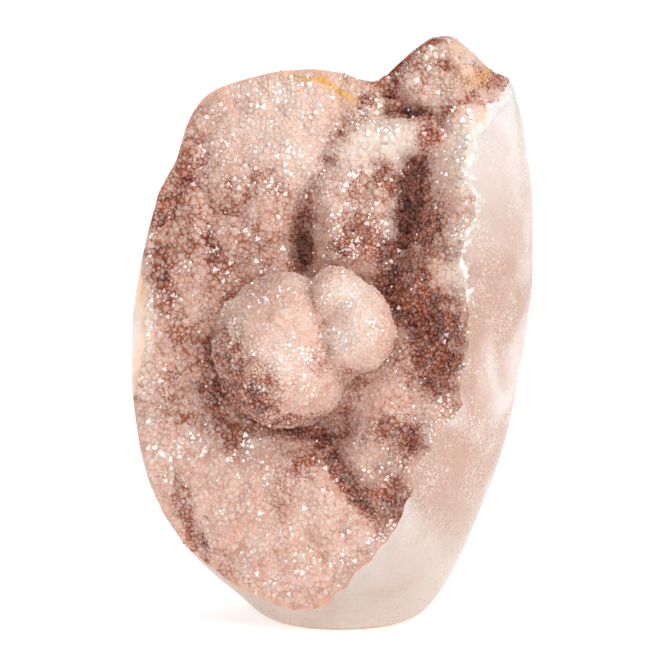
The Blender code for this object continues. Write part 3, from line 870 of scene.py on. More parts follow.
@dataclass(frozen=True)
class OpenFace:
    """The druse face: its leaning plane, its forms and where the polish starts."""

    middle_height: float = 23.85
    rise: float = 0.319
    # w and u of the line where the polished side starts, and how far the druse rises to it
    border: tuple[tuple[float, float, float], ...] = (
        (5.5, 0.0, 1.7),
        (9.0, 5.0, 1.4),
        (13.5, 9.0, 1.0),
        (20.0, 14.0, 2.7),
        (27.0, 17.0, 4.4),
        (34.5, 18.5, 4.3),
        (44.0, 24.0, 4.2),
        (47.5, 28.0, 1.9),
        (50.0, 29.5, 1.0),
        (56.0, 30.0, 3.5),
        (63.0, 31.0, 3.6),
        (72.0, 31.2, 4.4),
        (79.5, 30.5, 5.8),
        (89.5, 30.0, 5.9),
        (94.0, 32.5, 4.3),
        (99.0, 32.5, 3.9),
        (104.5, 30.5, 5.0),
        (112.0, 32.8, 2.0),
        (120.0, 36.5, 2.3),
        (126.0, 39.5, 0.5),
        (134.0, 41.5, 0.0),
    )
    notch: float = 2.0
    notch_pitch: float = 3.4
    notch_seed: int = 9
    notched_below: float = 116.0
    # Part of a step across that counts, as the border runs aslant
    border_slant: float = 0.9
    rise_width: float = 4.0
    rise_past: float = 1.6
    rise_past_width: float = 5.0
    # Stretch near the border where the polish shows a milky rim
    rim_width: float = 3.0
    rim_low: float = 71.0
    rim_high: float = 124.0
    rim_ragged: float = 9.0
    # Size, pitch, steps across and up, and pattern of the lumps, and how deep they all lie
    lump_sizes: tuple[tuple[float, float, float, float, int], ...] = (
        (2.6, 8.0, 0.0, 0.0, 1),
        (1.1, 4.0, 3.0, 1.0, 2),
        (0.7, 2.5, 1.0, 2.0, 3),
    )
    lumps_down: float = 2.7
    bed_depth: float = 0.25
    # Distances at which the druse around a place is compared with it
    hollow_reach: tuple[float, ...] = (4.0, 8.0)
    hollow_ways: int = 8
    crust: float = 2.6
    crust_at_border: float = 1.2
    most_steep: float = 2.2
    left: float = -58.0
    right: float = 56.0
    bottom: float = -14.0
    top: float = 152.0
    block_back: float = -72.0
    corner: Patch = Patch(34.0, 130.0, 10.5, 9.8, -20, 1.0, 4.0)
    corner_crust: float = 14.0
    corner_depth: float = 5.0
    corner_ragged: float = 5.0
    worn: Patch = Patch(-49.5, 68.0, 4.8, 13.0, 0, 1.0, 3.0)

    def on_corner(self, points: Array) -> Array:
        """Tells which points lie on the corner where the druse runs over the edge.

        Args:
            points: Rows of x, y, z, in millimetres.

        Returns:
            True for each point on the corner.
        """
        u, w, _ = to_face(points)
        depth = self.corner_depth + self.corner_ragged * (clouds(points, 4.0, 61.0) - 0.5)
        return (self.corner.spread(u, w) > 0.5) & (self.past_border(u, w) < 0.0) & (points[:, 1] < depth)

    def past_border(self, u: Array, w: Array) -> Array:
        """Measures to the line where the polished side starts.

        Args:
            u: Places across the face.
            w: Places up the face.

        Returns:
            Distance to the right of the line, less than 0 on the druse.
        """
        line = np.array(self.border)
        uneven = cells(u, w, self.notch_pitch, self.notch_seed) - 0.5
        notches = self.notch * uneven * (w < self.notched_below)
        return (u - np.interp(w, line[:, 0], line[:, 1])) * self.border_slant + notches

    def by_border(self, points: Array) -> Array:
        """Tells which points lie near the border of the polished side, and not at the top or left.

        Args:
            points: Rows of x, y, z, in millimetres.

        Returns:
            True for each point near it.
        """
        u, w, _ = to_face(points)
        lowest = self.rim_low + self.rim_ragged * (clouds(points, 3.0, 62.0) - 0.5)
        return (self.past_border(u, w) > -self.rim_width) & (w > lowest) & (w < self.rim_high)

    def height(self, u: Array, w: Array) -> Array:
        """Height of the druse, without its small lumps.

        Args:
            u: Places across the face.
            w: Places up the face.

        Returns:
            The h of the surface at each place.
        """
        forms = BROW + LEFT_FLANK + BELLY + LOBE_SWELLS + TIP + RIGHT_WALL + VALLEYS
        lobe = np.max([patch.spread(u, w) for patch in LEANING_LOBE], axis=0)
        line = np.array(self.border)
        past = self.past_border(u, w)
        wall = np.interp(w, line[:, 0], line[:, 2]) * np.clip(past / self.rise_width + 1.0, 0.0, 1.0)
        wall = wall + self.rise_past * np.clip(past, 0.0, self.rise_past_width)
        return self.middle_height + self.rise * u + sum_of(forms, u, w) + lobe + wall

    def lumps(self, u: Array, w: Array) -> Array:
        """The rounded lumps of the druse, in three sizes.

        Args:
            u: Places across the face.
            w: Places up the face.

        Returns:
            Their height at each place.
        """
        total = np.zeros(np.shape(u))
        for size, pitch, across, up, seed in self.lump_sizes:
            total = total + size * cells(u + across, w + up, pitch, seed)
        return total - self.lumps_down

    def steepness(self, u: Array, w: Array, step: float = 1.0) -> Array:
        """Measures how steep the surface is.

        Args:
            u: Places across the face.
            w: Places up the face.
            step: Distance over which it is measured.

        Returns:
            Length of the surface that lies over one millimetre of the face's plane.
        """
        along_u = (self.height(u + step, w) - self.height(u - step, w)) / (2.0 * step)
        along_w = (self.height(u, w + step) - self.height(u, w - step)) / (2.0 * step)
        return np.sqrt(1.0 + along_u**2 + along_w**2)

    def front(self, u: Array, w: Array) -> Array:
        """Height of the bed that the points grow on."""
        return self.height(u, w) + self.lumps(u, w) - self.bed_depth

    def hollow(self, u: Array, w: Array) -> Array:
        """Compares places with the druse around them.

        Args:
            u: Places across the face.
            w: Places up the face.

        Returns:
            Depth below the druse around each place, and less than 0 on a swell.
        """
        around = [
            self.height(u + reach * math.cos(turn), w + reach * math.sin(turn))
            for reach in self.hollow_reach
            for turn in np.linspace(0.0, FULL_TURN, self.hollow_ways, endpoint=False)
        ]
        return np.mean(around, axis=0) - self.height(u, w)

    def back(self, u: Array, w: Array) -> Array:
        """Height of the joint between the crust and the stone behind it.

        Args:
            u: Places across the face.
            w: Places up the face.

        Returns:
            The h of the joint at each place.
        """
        near = np.clip(self.past_border(u, w) / self.rise_width + 1.0, 0.0, 1.0)
        thickness = self.crust + (self.crust_at_border - self.crust) * near
        thickness += self.corner_crust * self.corner.spread(u, w)
        return self.height(u, w) - thickness * np.minimum(self.steepness(u, w), self.most_steep)

    def block(self, name: str, spacing: float, crust_side: bool) -> bpy.types.Object:
        """Makes all that lies behind a surface of the face, as a closed block.

        Args:
            name: The new object's name.
            spacing: Distance between the surface's points, in millimetres.
            crust_side: True for the front of the crust, False for its back.

        Returns:
            A closed mesh object.
        """
        u = np.arange(self.left, self.right, spacing)
        w = np.arange(self.bottom, self.top, spacing)
        columns, rows = len(u), len(w)
        u, w = np.meshgrid(u, w)
        h = self.front(u, w) if crust_side else self.back(u, w)
        front = to_world(u, w, h).reshape(-1, 3)
        back = to_world(u, w, np.full_like(h, self.block_back)).reshape(-1, 3)
        index = np.arange(rows * columns).reshape(rows, columns)
        low, right, high, up = index[:-1, :-1], index[:-1, 1:], index[1:, 1:], index[1:, :-1]
        faces = np.stack([low, right, high, up], axis=-1).reshape(-1, 4).tolist()
        rim = np.concatenate([index[0, :], index[1:, -1], index[-1, -2::-1], index[-2:0:-1, 0]])
        count = rows * columns
        behind = {int(old): count + k for k, old in enumerate(rim)}
        for start, end in zip(rim, np.roll(rim, -1)):
            faces.append([int(start), behind[int(start)], behind[int(end)], int(end)])
        faces.append([behind[int(k)] for k in rim[::-1]])
        mesh = bpy.data.meshes.new(name)
        mesh.from_pydata(np.concatenate([front, back[rim]]) * MM, [], faces)
        bm = bmesh.new()
        bm.from_mesh(mesh)
        bmesh.ops.triangulate(bm, faces=bm.faces[:])
        bmesh.ops.recalc_face_normals(bm, faces=bm.faces[:])
        bm.to_mesh(mesh)
        bm.free()
        return add_object(name, mesh)


@dataclass(frozen=True)
class Lobe:
    """One rounded lobe of the knob, in millimetres on the leaning face."""

    u: float
    w: float
    h: float
    half_width: float
    half_height: float
    half_depth: float

    def closeness(self, u: Array, w: Array, h: Array) -> Array:
        """Tells how far out places lie from the lobe's middle.

        Args:
            u: Places across the face, in millimetres.
            w: Places up the face, in millimetres.
            h: Heights over the face, in millimetres.

        Returns:
            1 on the lobe's surface, less inside it and more outside.
        """
        return np.sqrt(
            ((u - self.u) / self.half_width) ** 2
            + ((w - self.w) / self.half_height) ** 2
            + ((h - self.h) / self.half_depth) ** 2
        )


@dataclass(frozen=True)
class Knob:
    """The knob in the middle of the hollow: lobes that have grown into each other."""

    lobes: tuple[Lobe, ...] = (
        Lobe(-12.4, 62.8, 17.0, 16.9, 18.2, 17.0),
        Lobe(-0.6, 74.6, 24.0, 7.6, 7.6, 8.6),
        Lobe(4.6, 67.6, 25.0, 8.4, 10.4, 11.6),
    )
    # u, w and h of a place inside the knob that sees all of its surface
    heart: tuple[float, float, float] = (-2.5, 67.5, 22.0)
    seam: float = 16.0
    bump: float = 2.6
    bump_pitch: float = 6.5
    small_bump: float = 1.5
    small_pitch: float = 2.8
    bed_depth: float = 0.25
    farthest: float = 60.0
    halvings: int = 22

    def closeness(self, u: Array, w: Array, h: Array) -> Array:
        """1 on the knob's smooth surface, less inside it and more outside."""
        lobes = np.stack([lobe.closeness(u, w, h) for lobe in self.lobes])
        return -np.log(np.exp(-self.seam * lobes).sum(axis=0)) / self.seam

    def solid(self, name: str) -> bpy.types.Object:
        """Makes the knob with soft bumps.

        Args:
            name: The new object's name.

        Returns:
            A closed mesh object.
        """
        bm = bmesh.new()
        bmesh.ops.create_icosphere(bm, subdivisions=7, radius=1.0)
        direction = np.array([vert.co.normalized()[:] for vert in bm.verts])
        heart = np.array(self.heart)
        near, far = np.zeros(len(direction)), np.full(len(direction), self.farthest)
        for _ in range(self.halvings):
            middle = (near + far) / 2.0
            inside = self.closeness(*(heart + direction * middle[:, None]).T) < 1.0
            near, far = np.where(inside, middle, near), np.where(inside, far, middle)
        surface = heart + direction * near[:, None]
        swell = self.bump * (clouds(surface, self.bump_pitch, 3.0) - 0.5)
        swell += self.small_bump * (clouds(surface, self.small_pitch, 5.0) - 0.5)
        surface += direction * (swell - self.bed_depth)[:, None]
        for vert, place in zip(bm.verts, to_world(*surface.T)):
            vert.co = place * MM
        mesh = bpy.data.meshes.new(name)
        bmesh.ops.recalc_face_normals(bm, faces=bm.faces[:])
        bm.to_mesh(mesh)
        bm.free()
        return add_object(name, mesh)


@dataclass(frozen=True)
class Step:
    """A soft step from one result to another, between two values."""

    low: float
    high: float
    start: float = 0.0
    end: float = 1.0


@dataclass(frozen=True)
class Noise:
    """A noise pattern: the size of its features in millimetres, and its finer layers."""

    size: float
    detail: float = 2.0
    rough: float = 0.5
    warp: float = 0.0


class Shader:
    """Short names for the nodes of one material."""

    def __init__(self, name: str) -> None:
        """Starts a material with a Principled shader.

        Args:
            name: The material's name.
        """
        self.material = bpy.data.materials.new(name)
        self.material.use_nodes = True
        self.tree = self.material.node_tree
        self.surface = self.tree.nodes["Principled BSDF"]

    def node(self, kind: str, **settings: object) -> bpy.types.Node:
        """Adds a node and sets its properties.

        Args:
            kind: Blender's name for the kind of node.
            **settings: The properties.

        Returns:
            The new node.
        """
        made = self.tree.nodes.new(kind)
        for key, value in settings.items():
            setattr(made, key, value)
        return made

    def plug(self, value: object, socket: bpy.types.NodeSocket) -> None:
        """Links an output to a socket, or sets the socket to a plain value.

        Args:
            value: The output, colour or number.
            socket: The socket that takes it.
        """
        if isinstance(value, bpy.types.NodeSocket):
            self.tree.links.new(value, socket)
        elif isinstance(value, tuple):
            socket.default_value = (*value, 1.0) if socket.type == "RGBA" else value
        else:
            socket.default_value = value

    def value(self, name: str) -> bpy.types.NodeSocket:
        """Reads a number stored at the mesh's points."""
        return self.node("ShaderNodeAttribute", attribute_name=name).outputs["Fac"]

    def place(self) -> bpy.types.NodeSocket:
        """Place on the piece, in metres of the stone's frame."""
        return self.node("ShaderNodeTexCoord").outputs["Object"]

    def noise(self, pattern: Noise, length: float = 1.0) -> bpy.types.NodeSocket:
        """A noise pattern through the stone.

        Args:
            pattern: Its size and layers.
            length: How much longer than wide its features are, drawn out upwards.

        Returns:
            The pattern's value, about 0.5 on average.
        """
        drawn = self.node("ShaderNodeVectorMath", operation="MULTIPLY")
        self.plug(self.place(), drawn.inputs[0])
        self.plug((1.0, 1.0, 1.0 / length), drawn.inputs[1])
        made = self.node("ShaderNodeTexNoise")
        self.plug(drawn.outputs[0], made.inputs["Vector"])
        self.plug(1.0 / (pattern.size * MM), made.inputs["Scale"])
        self.plug(pattern.detail, made.inputs["Detail"])
        self.plug(pattern.rough, made.inputs["Roughness"])
        self.plug(pattern.warp, made.inputs["Distortion"])
        return made.outputs["Fac"]

    def dots(self, pitch: float, radius: float) -> bpy.types.NodeSocket:
        """Adds small round dots.

        Args:
            pitch: The usual distance from one dot to the next, in millimetres.
            radius: Their radius, in millimetres.

        Returns:
            1 in a dot and 0 around it.
        """
        made = self.node("ShaderNodeTexVoronoi")
        self.plug(self.place(), made.inputs["Vector"])
        self.plug(1.0 / (pitch * MM), made.inputs["Scale"])
        return self.ramp(made.outputs["Distance"], Step(0.8 * radius / pitch, 1.4 * radius / pitch, 1.0, 0.0))

    def ramp(self, value: object, step: Step) -> bpy.types.NodeSocket:
        """Turns a stretch of values into another, with soft ends.

        Args:
            value: The value to read.
            step: The stretch and its results.

        Returns:
            The new value.
        """
        made = self.node("ShaderNodeMapRange", interpolation_type="SMOOTHSTEP")
        self.plug(value, made.inputs["Value"])
        self.plug(step.low, made.inputs["From Min"])
        self.plug(step.high, made.inputs["From Max"])
        self.plug(step.start, made.inputs["To Min"])
        self.plug(step.end, made.inputs["To Max"])
        return made.outputs["Result"]

    def sum(self, way: Sum, first: object, second: object, clamp: bool = False) -> bpy.types.NodeSocket:
        """Works out one sum.

        Args:
            way: What is worked out.
            first: Its first value.
            second: Its second value.
            clamp: Keeps the result between 0 and 1.

        Returns:
            The result.
        """
        made = self.node("ShaderNodeMath", operation=way.value, use_clamp=clamp)
        self.plug(first, made.inputs[0])
        self.plug(second, made.inputs[1])
        return made.outputs[0]

    def times(self, first: object, second: object, clamp: bool = False) -> bpy.types.NodeSocket:
        """Multiplies two values."""
        return self.sum(Sum.TIMES, first, second, clamp)

    def mix(self, share: object, first: object, second: object) -> bpy.types.NodeSocket:
        """Mixes two colours.

        Args:
            share: Share of the second colour.
            first: Colour where the share is 0.
            second: Colour where the share is 1.

        Returns:
            The mixed colour.
        """
        made = self.node("ShaderNodeMix", data_type="RGBA")
        self.plug(share, made.inputs["Factor"])
        self.plug(first, made.inputs["A"])
        self.plug(second, made.inputs["B"])
        return made.outputs["Result"]

    def bump(self, height: object, depth: float) -> None:
        """Adds fine relief to the surface.

        Args:
            height: The relief's pattern.
            depth: Its depth, in millimetres.
        """
        made = self.node("ShaderNodeBump")
        self.plug(height, made.inputs["Height"])
        self.plug(depth * MM, made.inputs["Distance"])
        self.plug(made.outputs["Normal"], self.surface.inputs["Normal"])

    def finish(self, **values: object) -> bpy.types.Material:
        """Sets the surface, by its sockets' names with _ for a space.

        Args:
            **values: An output, colour or number for each socket.

        Returns:
            The finished material.
        """
        for name, value in values.items():
            self.plug(value, self.surface.inputs[name.replace("_", " ")])
        return self.material


@dataclass(frozen=True)
class DruseFinish:
    """Milky pink quartz points, stained brown where iron has gathered and darkened by painted shade in
    hollows and creases, with painted highlights on their tops and painted light in the gaps between them.
    """

    name: str
    pink: Colour = (0.62, 0.325, 0.24)
    pale: Colour = (0.76, 0.555, 0.48)
    gap_pink_and_painted_light: Colour = (0.84, 0.47, 0.335)
    clear: Colour = (0.93, 0.83, 0.78)
    cream_and_painted_highlight: Colour = (0.85, 0.745, 0.675)
    cream_gap_and_painted_light: Colour = (0.95, 0.69, 0.53)
    mauve: Colour = (0.39, 0.160, 0.105)
    wine: Colour = (0.52, 0.165, 0.095)
    russet: Colour = (0.15, 0.027, 0.009)
    rust: Colour = (0.39, 0.115, 0.055)
    umber: Colour = (0.18, 0.028, 0.008)
    maroon: Colour = (0.24, 0.050, 0.022)
    ochre: Colour = (0.82, 0.45, 0.13)
    # Where clean quartz is pale: in broad patches, in small ones and on single points
    patches: Noise = Noise(7.0, 4.0, 0.62)
    patch_edge: Step = Step(0.4, 0.64)
    small_patches: Noise = Noise(2.3)
    small_patch_edge: Step = Step(0.45, 0.62, 0.0, 0.45)
    pale_points: Step = Step(0.3, 1.0, 0.0, 0.8)
    # How colour changes from the gaps between points up to their tops: the gaps are partly pinker quartz and
    # partly lightened as painted light against the shade in them, and the tops are whitened as painted
    # highlight
    low_ring: Step = Step(0.38, 0.75, 1.0, 0.0)
    ring_share: float = 0.75
    crown: Step = Step(0.4, 0.75)
    peak: Step = Step(0.5, 0.85)
    peak_share: float = 0.26
    stained_peak_share: float = 0.22
    # Where iron stain and painted shade are heavy, where iron has clumped and how uneven it lies
    heavy: Step = Step(0.6, 1.2)
    heavy_in_gaps: float = 0.25
    clumps: Noise = Noise(3.0)
    clump_edge: Step = Step(0.57, 0.43)
    blotches: Noise = Noise(2.4, 1.5)
    blotch_edge: Step = Step(0.36, 0.64, 1.6, 0.55)
    point_to_point: Step = Step(0.0, 1.0, 1.2, 0.85)
    # Share of a stain or of painted shade that shows in the gaps between points, and on their tops
    gap_reach: float = 1.2
    top_reach: float = 0.86
    # Dark specks in the stained gaps, and round dots in fields
    specks: Noise = Noise(0.8)
    speck_edge: Step = Step(0.54, 0.62)
    speck_low: Step = Step(0.4, 0.75, 1.0, 0.0)
    speck_stain: Step = Step(0.3, 1.0)
    dot_pitch: float = 0.78
    dot_radius: float = 0.24
    dot_fields: Noise = Noise(3.0)
    dot_field_edge: Step = Step(0.44, 0.6)
    dot_stain: Step = Step(0.06, 0.3, 0.0, 0.75)
    softness: float = 0.5
    roughness: float = 0.45
    shine: float = 0.1
    gloss: float = 0.15
    gloss_roughness: float = 0.05
    # Over that of quartz, as flashes come back from inside a point too
    gloss_refraction: float = 1.7

    def clean_quartz(self, shader: Shader) -> bpy.types.NodeSocket:
        """Mixes the colour of points without iron.

        Args:
            shader: The material's nodes.

        Returns:
            The colour.
        """
        tip = shader.value("tip")
        clean = shader.mix(shader.ramp(shader.noise(self.patches), self.patch_edge), self.pink, self.pale)
        in_small = shader.ramp(shader.noise(self.small_patches), self.small_patch_edge)
        clean = shader.mix(in_small, clean, self.pale)
        clean = shader.mix(shader.ramp(shader.value("grain"), self.pale_points), clean, self.pale)
        # Painted light, partly the pink of the gaps: gaps between points are mixed towards a light pink, and
        # on cream points a light orange, that lifts the shade falling in them
        ring = shader.ramp(tip, self.low_ring)
        clean = shader.mix(shader.times(ring, self.ring_share), clean, self.gap_pink_and_painted_light)
        milky = shader.mix(ring, self.cream_and_painted_highlight, self.cream_gap_and_painted_light)
        base = shader.mix(shader.value("cream_and_painted_highlight"), clean, milky)
        # Painted highlight: the top of each point is mixed towards a near-white colour
        base = shader.mix(shader.times(shader.ramp(tip, self.peak), self.peak_share), base, self.clear)
        return shader.mix(shader.value("ochre"), base, self.ochre)

    def stained_or_shaded_quartz(self, shader: Shader) -> bpy.types.NodeSocket:
        """Mixes the colour of points in a stain or in painted shade.

        Args:
            shader: The material's nodes.

        Returns:
            The colour, darkest where iron has clumped.
        """
        tip = shader.value("tip")
        heavy = shader.ramp(shader.value("stain_and_painted_shade"), self.heavy)
        clump = shader.times(heavy, shader.ramp(shader.noise(self.clumps), self.clump_edge))
        top = shader.mix(clump, shader.mix(heavy, self.mauve, self.wine), self.russet)
        darker = shader.sum(Sum.PLUS, clump, shader.times(heavy, self.heavy_in_gaps), clamp=True)
        gap = shader.mix(darker, self.rust, self.umber)
        stained = shader.mix(shader.ramp(tip, self.crown), gap, top)
        # Painted highlight: the tops of stained points are whitened too
        capped = shader.times(shader.ramp(tip, self.peak), self.stained_peak_share)
        return shader.mix(capped, stained, self.clear)

    def stain_and_painted_shade_share(self, shader: Shader) -> bpy.types.NodeSocket:
        """Works out how far stains and painted shade cover the quartz.

        Args:
            shader: The material's nodes.

        Returns:
            The share of the stained colour.
        """
        from_point = shader.ramp(shader.value("grain"), self.point_to_point)
        blotch = shader.ramp(shader.noise(self.blotches), self.blotch_edge)
        uneven = shader.times(shader.times(shader.value("stain_and_painted_shade"), from_point), blotch)
        crown = shader.ramp(shader.value("tip"), self.crown)
        up_to_top = shader.ramp(crown, Step(0.0, 1.0, self.gap_reach, self.top_reach))
        return shader.times(uneven, up_to_top, clamp=True)

    def speck_share(self, shader: Shader) -> bpy.types.NodeSocket:
        """Works out where dark specks and dots lie.

        Args:
            shader: The material's nodes.

        Returns:
            The share of their colour.
        """
        stain_and_painted_shade = shader.value("stain_and_painted_shade")
        speck = shader.ramp(shader.noise(self.specks), self.speck_edge)
        speck = shader.times(speck, shader.ramp(shader.value("tip"), self.speck_low))
        speck = shader.times(speck, shader.ramp(stain_and_painted_shade, self.speck_stain))
        field = shader.ramp(shader.noise(self.dot_fields), self.dot_field_edge)
        dots = shader.times(shader.dots(self.dot_pitch, self.dot_radius), field)
        dots = shader.times(dots, shader.ramp(stain_and_painted_shade, self.dot_stain))
        return shader.sum(Sum.LARGER, speck, dots)

    def soft_normal(self, shader: Shader) -> bpy.types.NodeSocket:
        """Evens out the shading of a point's sides.

        The light that wanders inside milky quartz makes a point as bright as the points around it.

        Args:
            shader: The material's nodes.

        Returns:
            The direction that the surface is shaded for.
        """
        soft = shader.node("ShaderNodeMix", data_type="VECTOR")
        shader.plug(self.softness, soft.inputs["Factor"])
        shader.plug(shader.node("ShaderNodeNewGeometry").outputs["Normal"], soft.inputs[4])
        away = shader.node("ShaderNodeAttribute", attribute_name="away")
        shader.plug(away.outputs["Vector"], soft.inputs[5])
        even = shader.node("ShaderNodeVectorMath", operation="NORMALIZE")
        shader.plug(soft.outputs[1], even.inputs[0])
        return even.outputs[0]

    def material(self) -> bpy.types.Material:
        """Builds the finish from the values stored at the points of the mesh.

        Returns:
            The new material.
        """
        shader = Shader(self.name)
        base = shader.mix(self.stain_and_painted_shade_share(shader), self.clean_quartz(shader), self.stained_or_shaded_quartz(shader))
        return shader.finish(
            Base_Color=shader.mix(self.speck_share(shader), base, self.maroon),
            Roughness=self.roughness,
            IOR=QUARTZ_REFRACTION,
            Specular_IOR_Level=self.shine,
            Coat_Weight=shader.ramp(shader.value("flash"), Step(0.0, 1.0, self.gloss, 1.0)),
            Coat_Roughness=self.gloss_roughness,
            Coat_IOR=self.gloss_refraction,
            Normal=self.soft_normal(shader),
        )


@dataclass(frozen=True)
class PolishFinish:
    """The polished outside: pale pink, clouded, with fine milky grain near the druse."""

    name: str = "polished_pink"
    pink: Colour = (0.525, 0.325, 0.25)
    pale: Colour = (0.81, 0.725, 0.685)
    milk: Colour = (0.94, 0.87, 0.82)
    deep: Colour = (0.54, 0.425, 0.36)
    ochre: Colour = (0.62, 0.33, 0.12)
    cloud: Noise = Noise(24.0, 3.0, 0.5, 0.6)
    cloud_edge: Step = Step(0.40, 0.66)
    # Heights, in metres, over which the stone grows pale towards the top as painted highlight, darker towards
    # the bottom, and ochre at the foot
    pale_height: Step = Step(82.0 * MM, 115.0 * MM, 0.0, 0.75)
    deep_height: Step = Step(2.0 * MM, 48.0 * MM, 0.85, 0.0)
    foot_height: Step = Step(0.2 * MM, 1.1 * MM, 0.8, 0.0)
    foot_patches: Noise = Noise(5.0)
    foot_edge: Step = Step(0.4, 0.6)
    # Milky streaks and flecks, and the fields where they show
    streaks: Noise = Noise(0.45)
    streak_length: float = 1.8
    streak_edge: Step = Step(0.52, 0.7, 0.0, 0.7)
    flecks: Noise = Noise(0.55, 2.0, 0.6)
    fleck_edge: Step = Step(0.54, 0.66)
    fleck_fields: Noise = Noise(9.0, 3.0, 0.6)
    field_edge: Step = Step(0.38, 0.66, 0.12, 0.75)
    # The milky rim by the druse, by its distance in millimetres
    ragged: Noise = Noise(1.6, 3.0, 0.6)
    ragged_edge: Step = Step(0.3, 0.7, -1.5, 2.5)
    rim: Step = Step(0.2, 2.6, 0.85, 0.0)
    fine: Noise = Noise(0.9, 3.0, 0.65)
    roughness: Step = Step(0.3, 0.7, 0.24, 0.4)
    relief: float = 0.015
    shine: float = 0.5
    glow: float = 0.3
    glow_colour: Colour = (1.0, 0.5, 0.4)
    glow_depth: float = 2.0

    def material(self) -> bpy.types.Material:
        """Builds the finish.

        Returns:
            The new material.
        """
        shader = Shader(self.name)
        split = shader.node("ShaderNodeSeparateXYZ")
        shader.plug(shader.place(), split.inputs[0])
        height = split.outputs["Z"]
        cloud = shader.ramp(shader.noise(self.cloud), self.cloud_edge)
        # Painted highlight: the upper part of the stone is made paler
        pale = shader.sum(Sum.PLUS, cloud, shader.ramp(height, self.pale_height), clamp=True)
        base = shader.mix(pale, self.pink, self.pale)
        streak = shader.ramp(shader.noise(self.streaks, self.streak_length), self.streak_edge)
        fleck = shader.ramp(shader.noise(self.flecks), self.fleck_edge)
        milky = shader.sum(Sum.PLUS, fleck, streak, clamp=True)
        field = shader.ramp(shader.noise(self.fleck_fields), self.field_edge)
        base = shader.mix(shader.times(milky, field), base, self.milk)
        ragged = shader.ramp(shader.noise(self.ragged), self.ragged_edge)
        rim = shader.sum(Sum.PLUS, shader.value("rim"), ragged)
        base = shader.mix(shader.ramp(rim, self.rim), base, self.milk)
        base = shader.mix(shader.ramp(height, self.deep_height), base, self.deep)
        foot = shader.ramp(shader.noise(self.foot_patches), self.foot_edge)
        base = shader.mix(shader.times(shader.ramp(height, self.foot_height), foot), base, self.ochre)
        fine = shader.noise(self.fine)
        shader.bump(fine, self.relief)
        return shader.finish(
            Base_Color=base,
            Roughness=shader.ramp(fine, self.roughness),
            IOR=QUARTZ_REFRACTION,
            Specular_IOR_Level=self.shine,
            Subsurface_Weight=self.glow,
            Subsurface_Radius=self.glow_colour,
            Subsurface_Scale=self.glow_depth * MM,
        )


@dataclass(frozen=True)
class FloorFinish:
    """Plain pale paper."""

    name: str = "studio_paper"
    white: Colour = (0.93, 0.93, 0.93)
    glow_colour: Colour = (1.0, 1.0, 1.0)
    glow: float = 0.5
    roughness: float = 0.9
    shine: float = 0.1

    def material(self) -> bpy.types.Material:
        """Builds the finish.

        Returns:
            The new material.
        """
        return Shader(self.name).finish(
            Base_Color=self.white,
            Roughness=self.roughness,
            Specular_IOR_Level=self.shine,
            Emission_Color=self.glow_colour,
            Emission_Strength=self.glow,
        )


def dress(piece: bpy.types.Object, node: str) -> None:
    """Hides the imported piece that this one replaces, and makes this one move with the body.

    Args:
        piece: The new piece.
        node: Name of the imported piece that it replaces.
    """
    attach(piece, BODY)
    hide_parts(node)
    log.info("%s: %d faces", piece.name, len(piece.data.polygons))


@dataclass
class Stand:
    """Quartz points that stand on the bed, a row of each array for a point, in millimetres.

    slope is a share of the steepest, turn a share of a full turn, body the height of the
    widest place over the bed, and root the depth of the lower end under it.
    """

    place: Array
    away: Array
    axis: Array
    turn: Array
    slope: Array
    radius: Array
    body: Array
    root: Array
    flash: Array

    def chosen(self, rows: Array | slice) -> "Stand":
        """Only some of the points."""
        return Stand(*(getattr(self, field.name)[rows] for field in fields(self)))


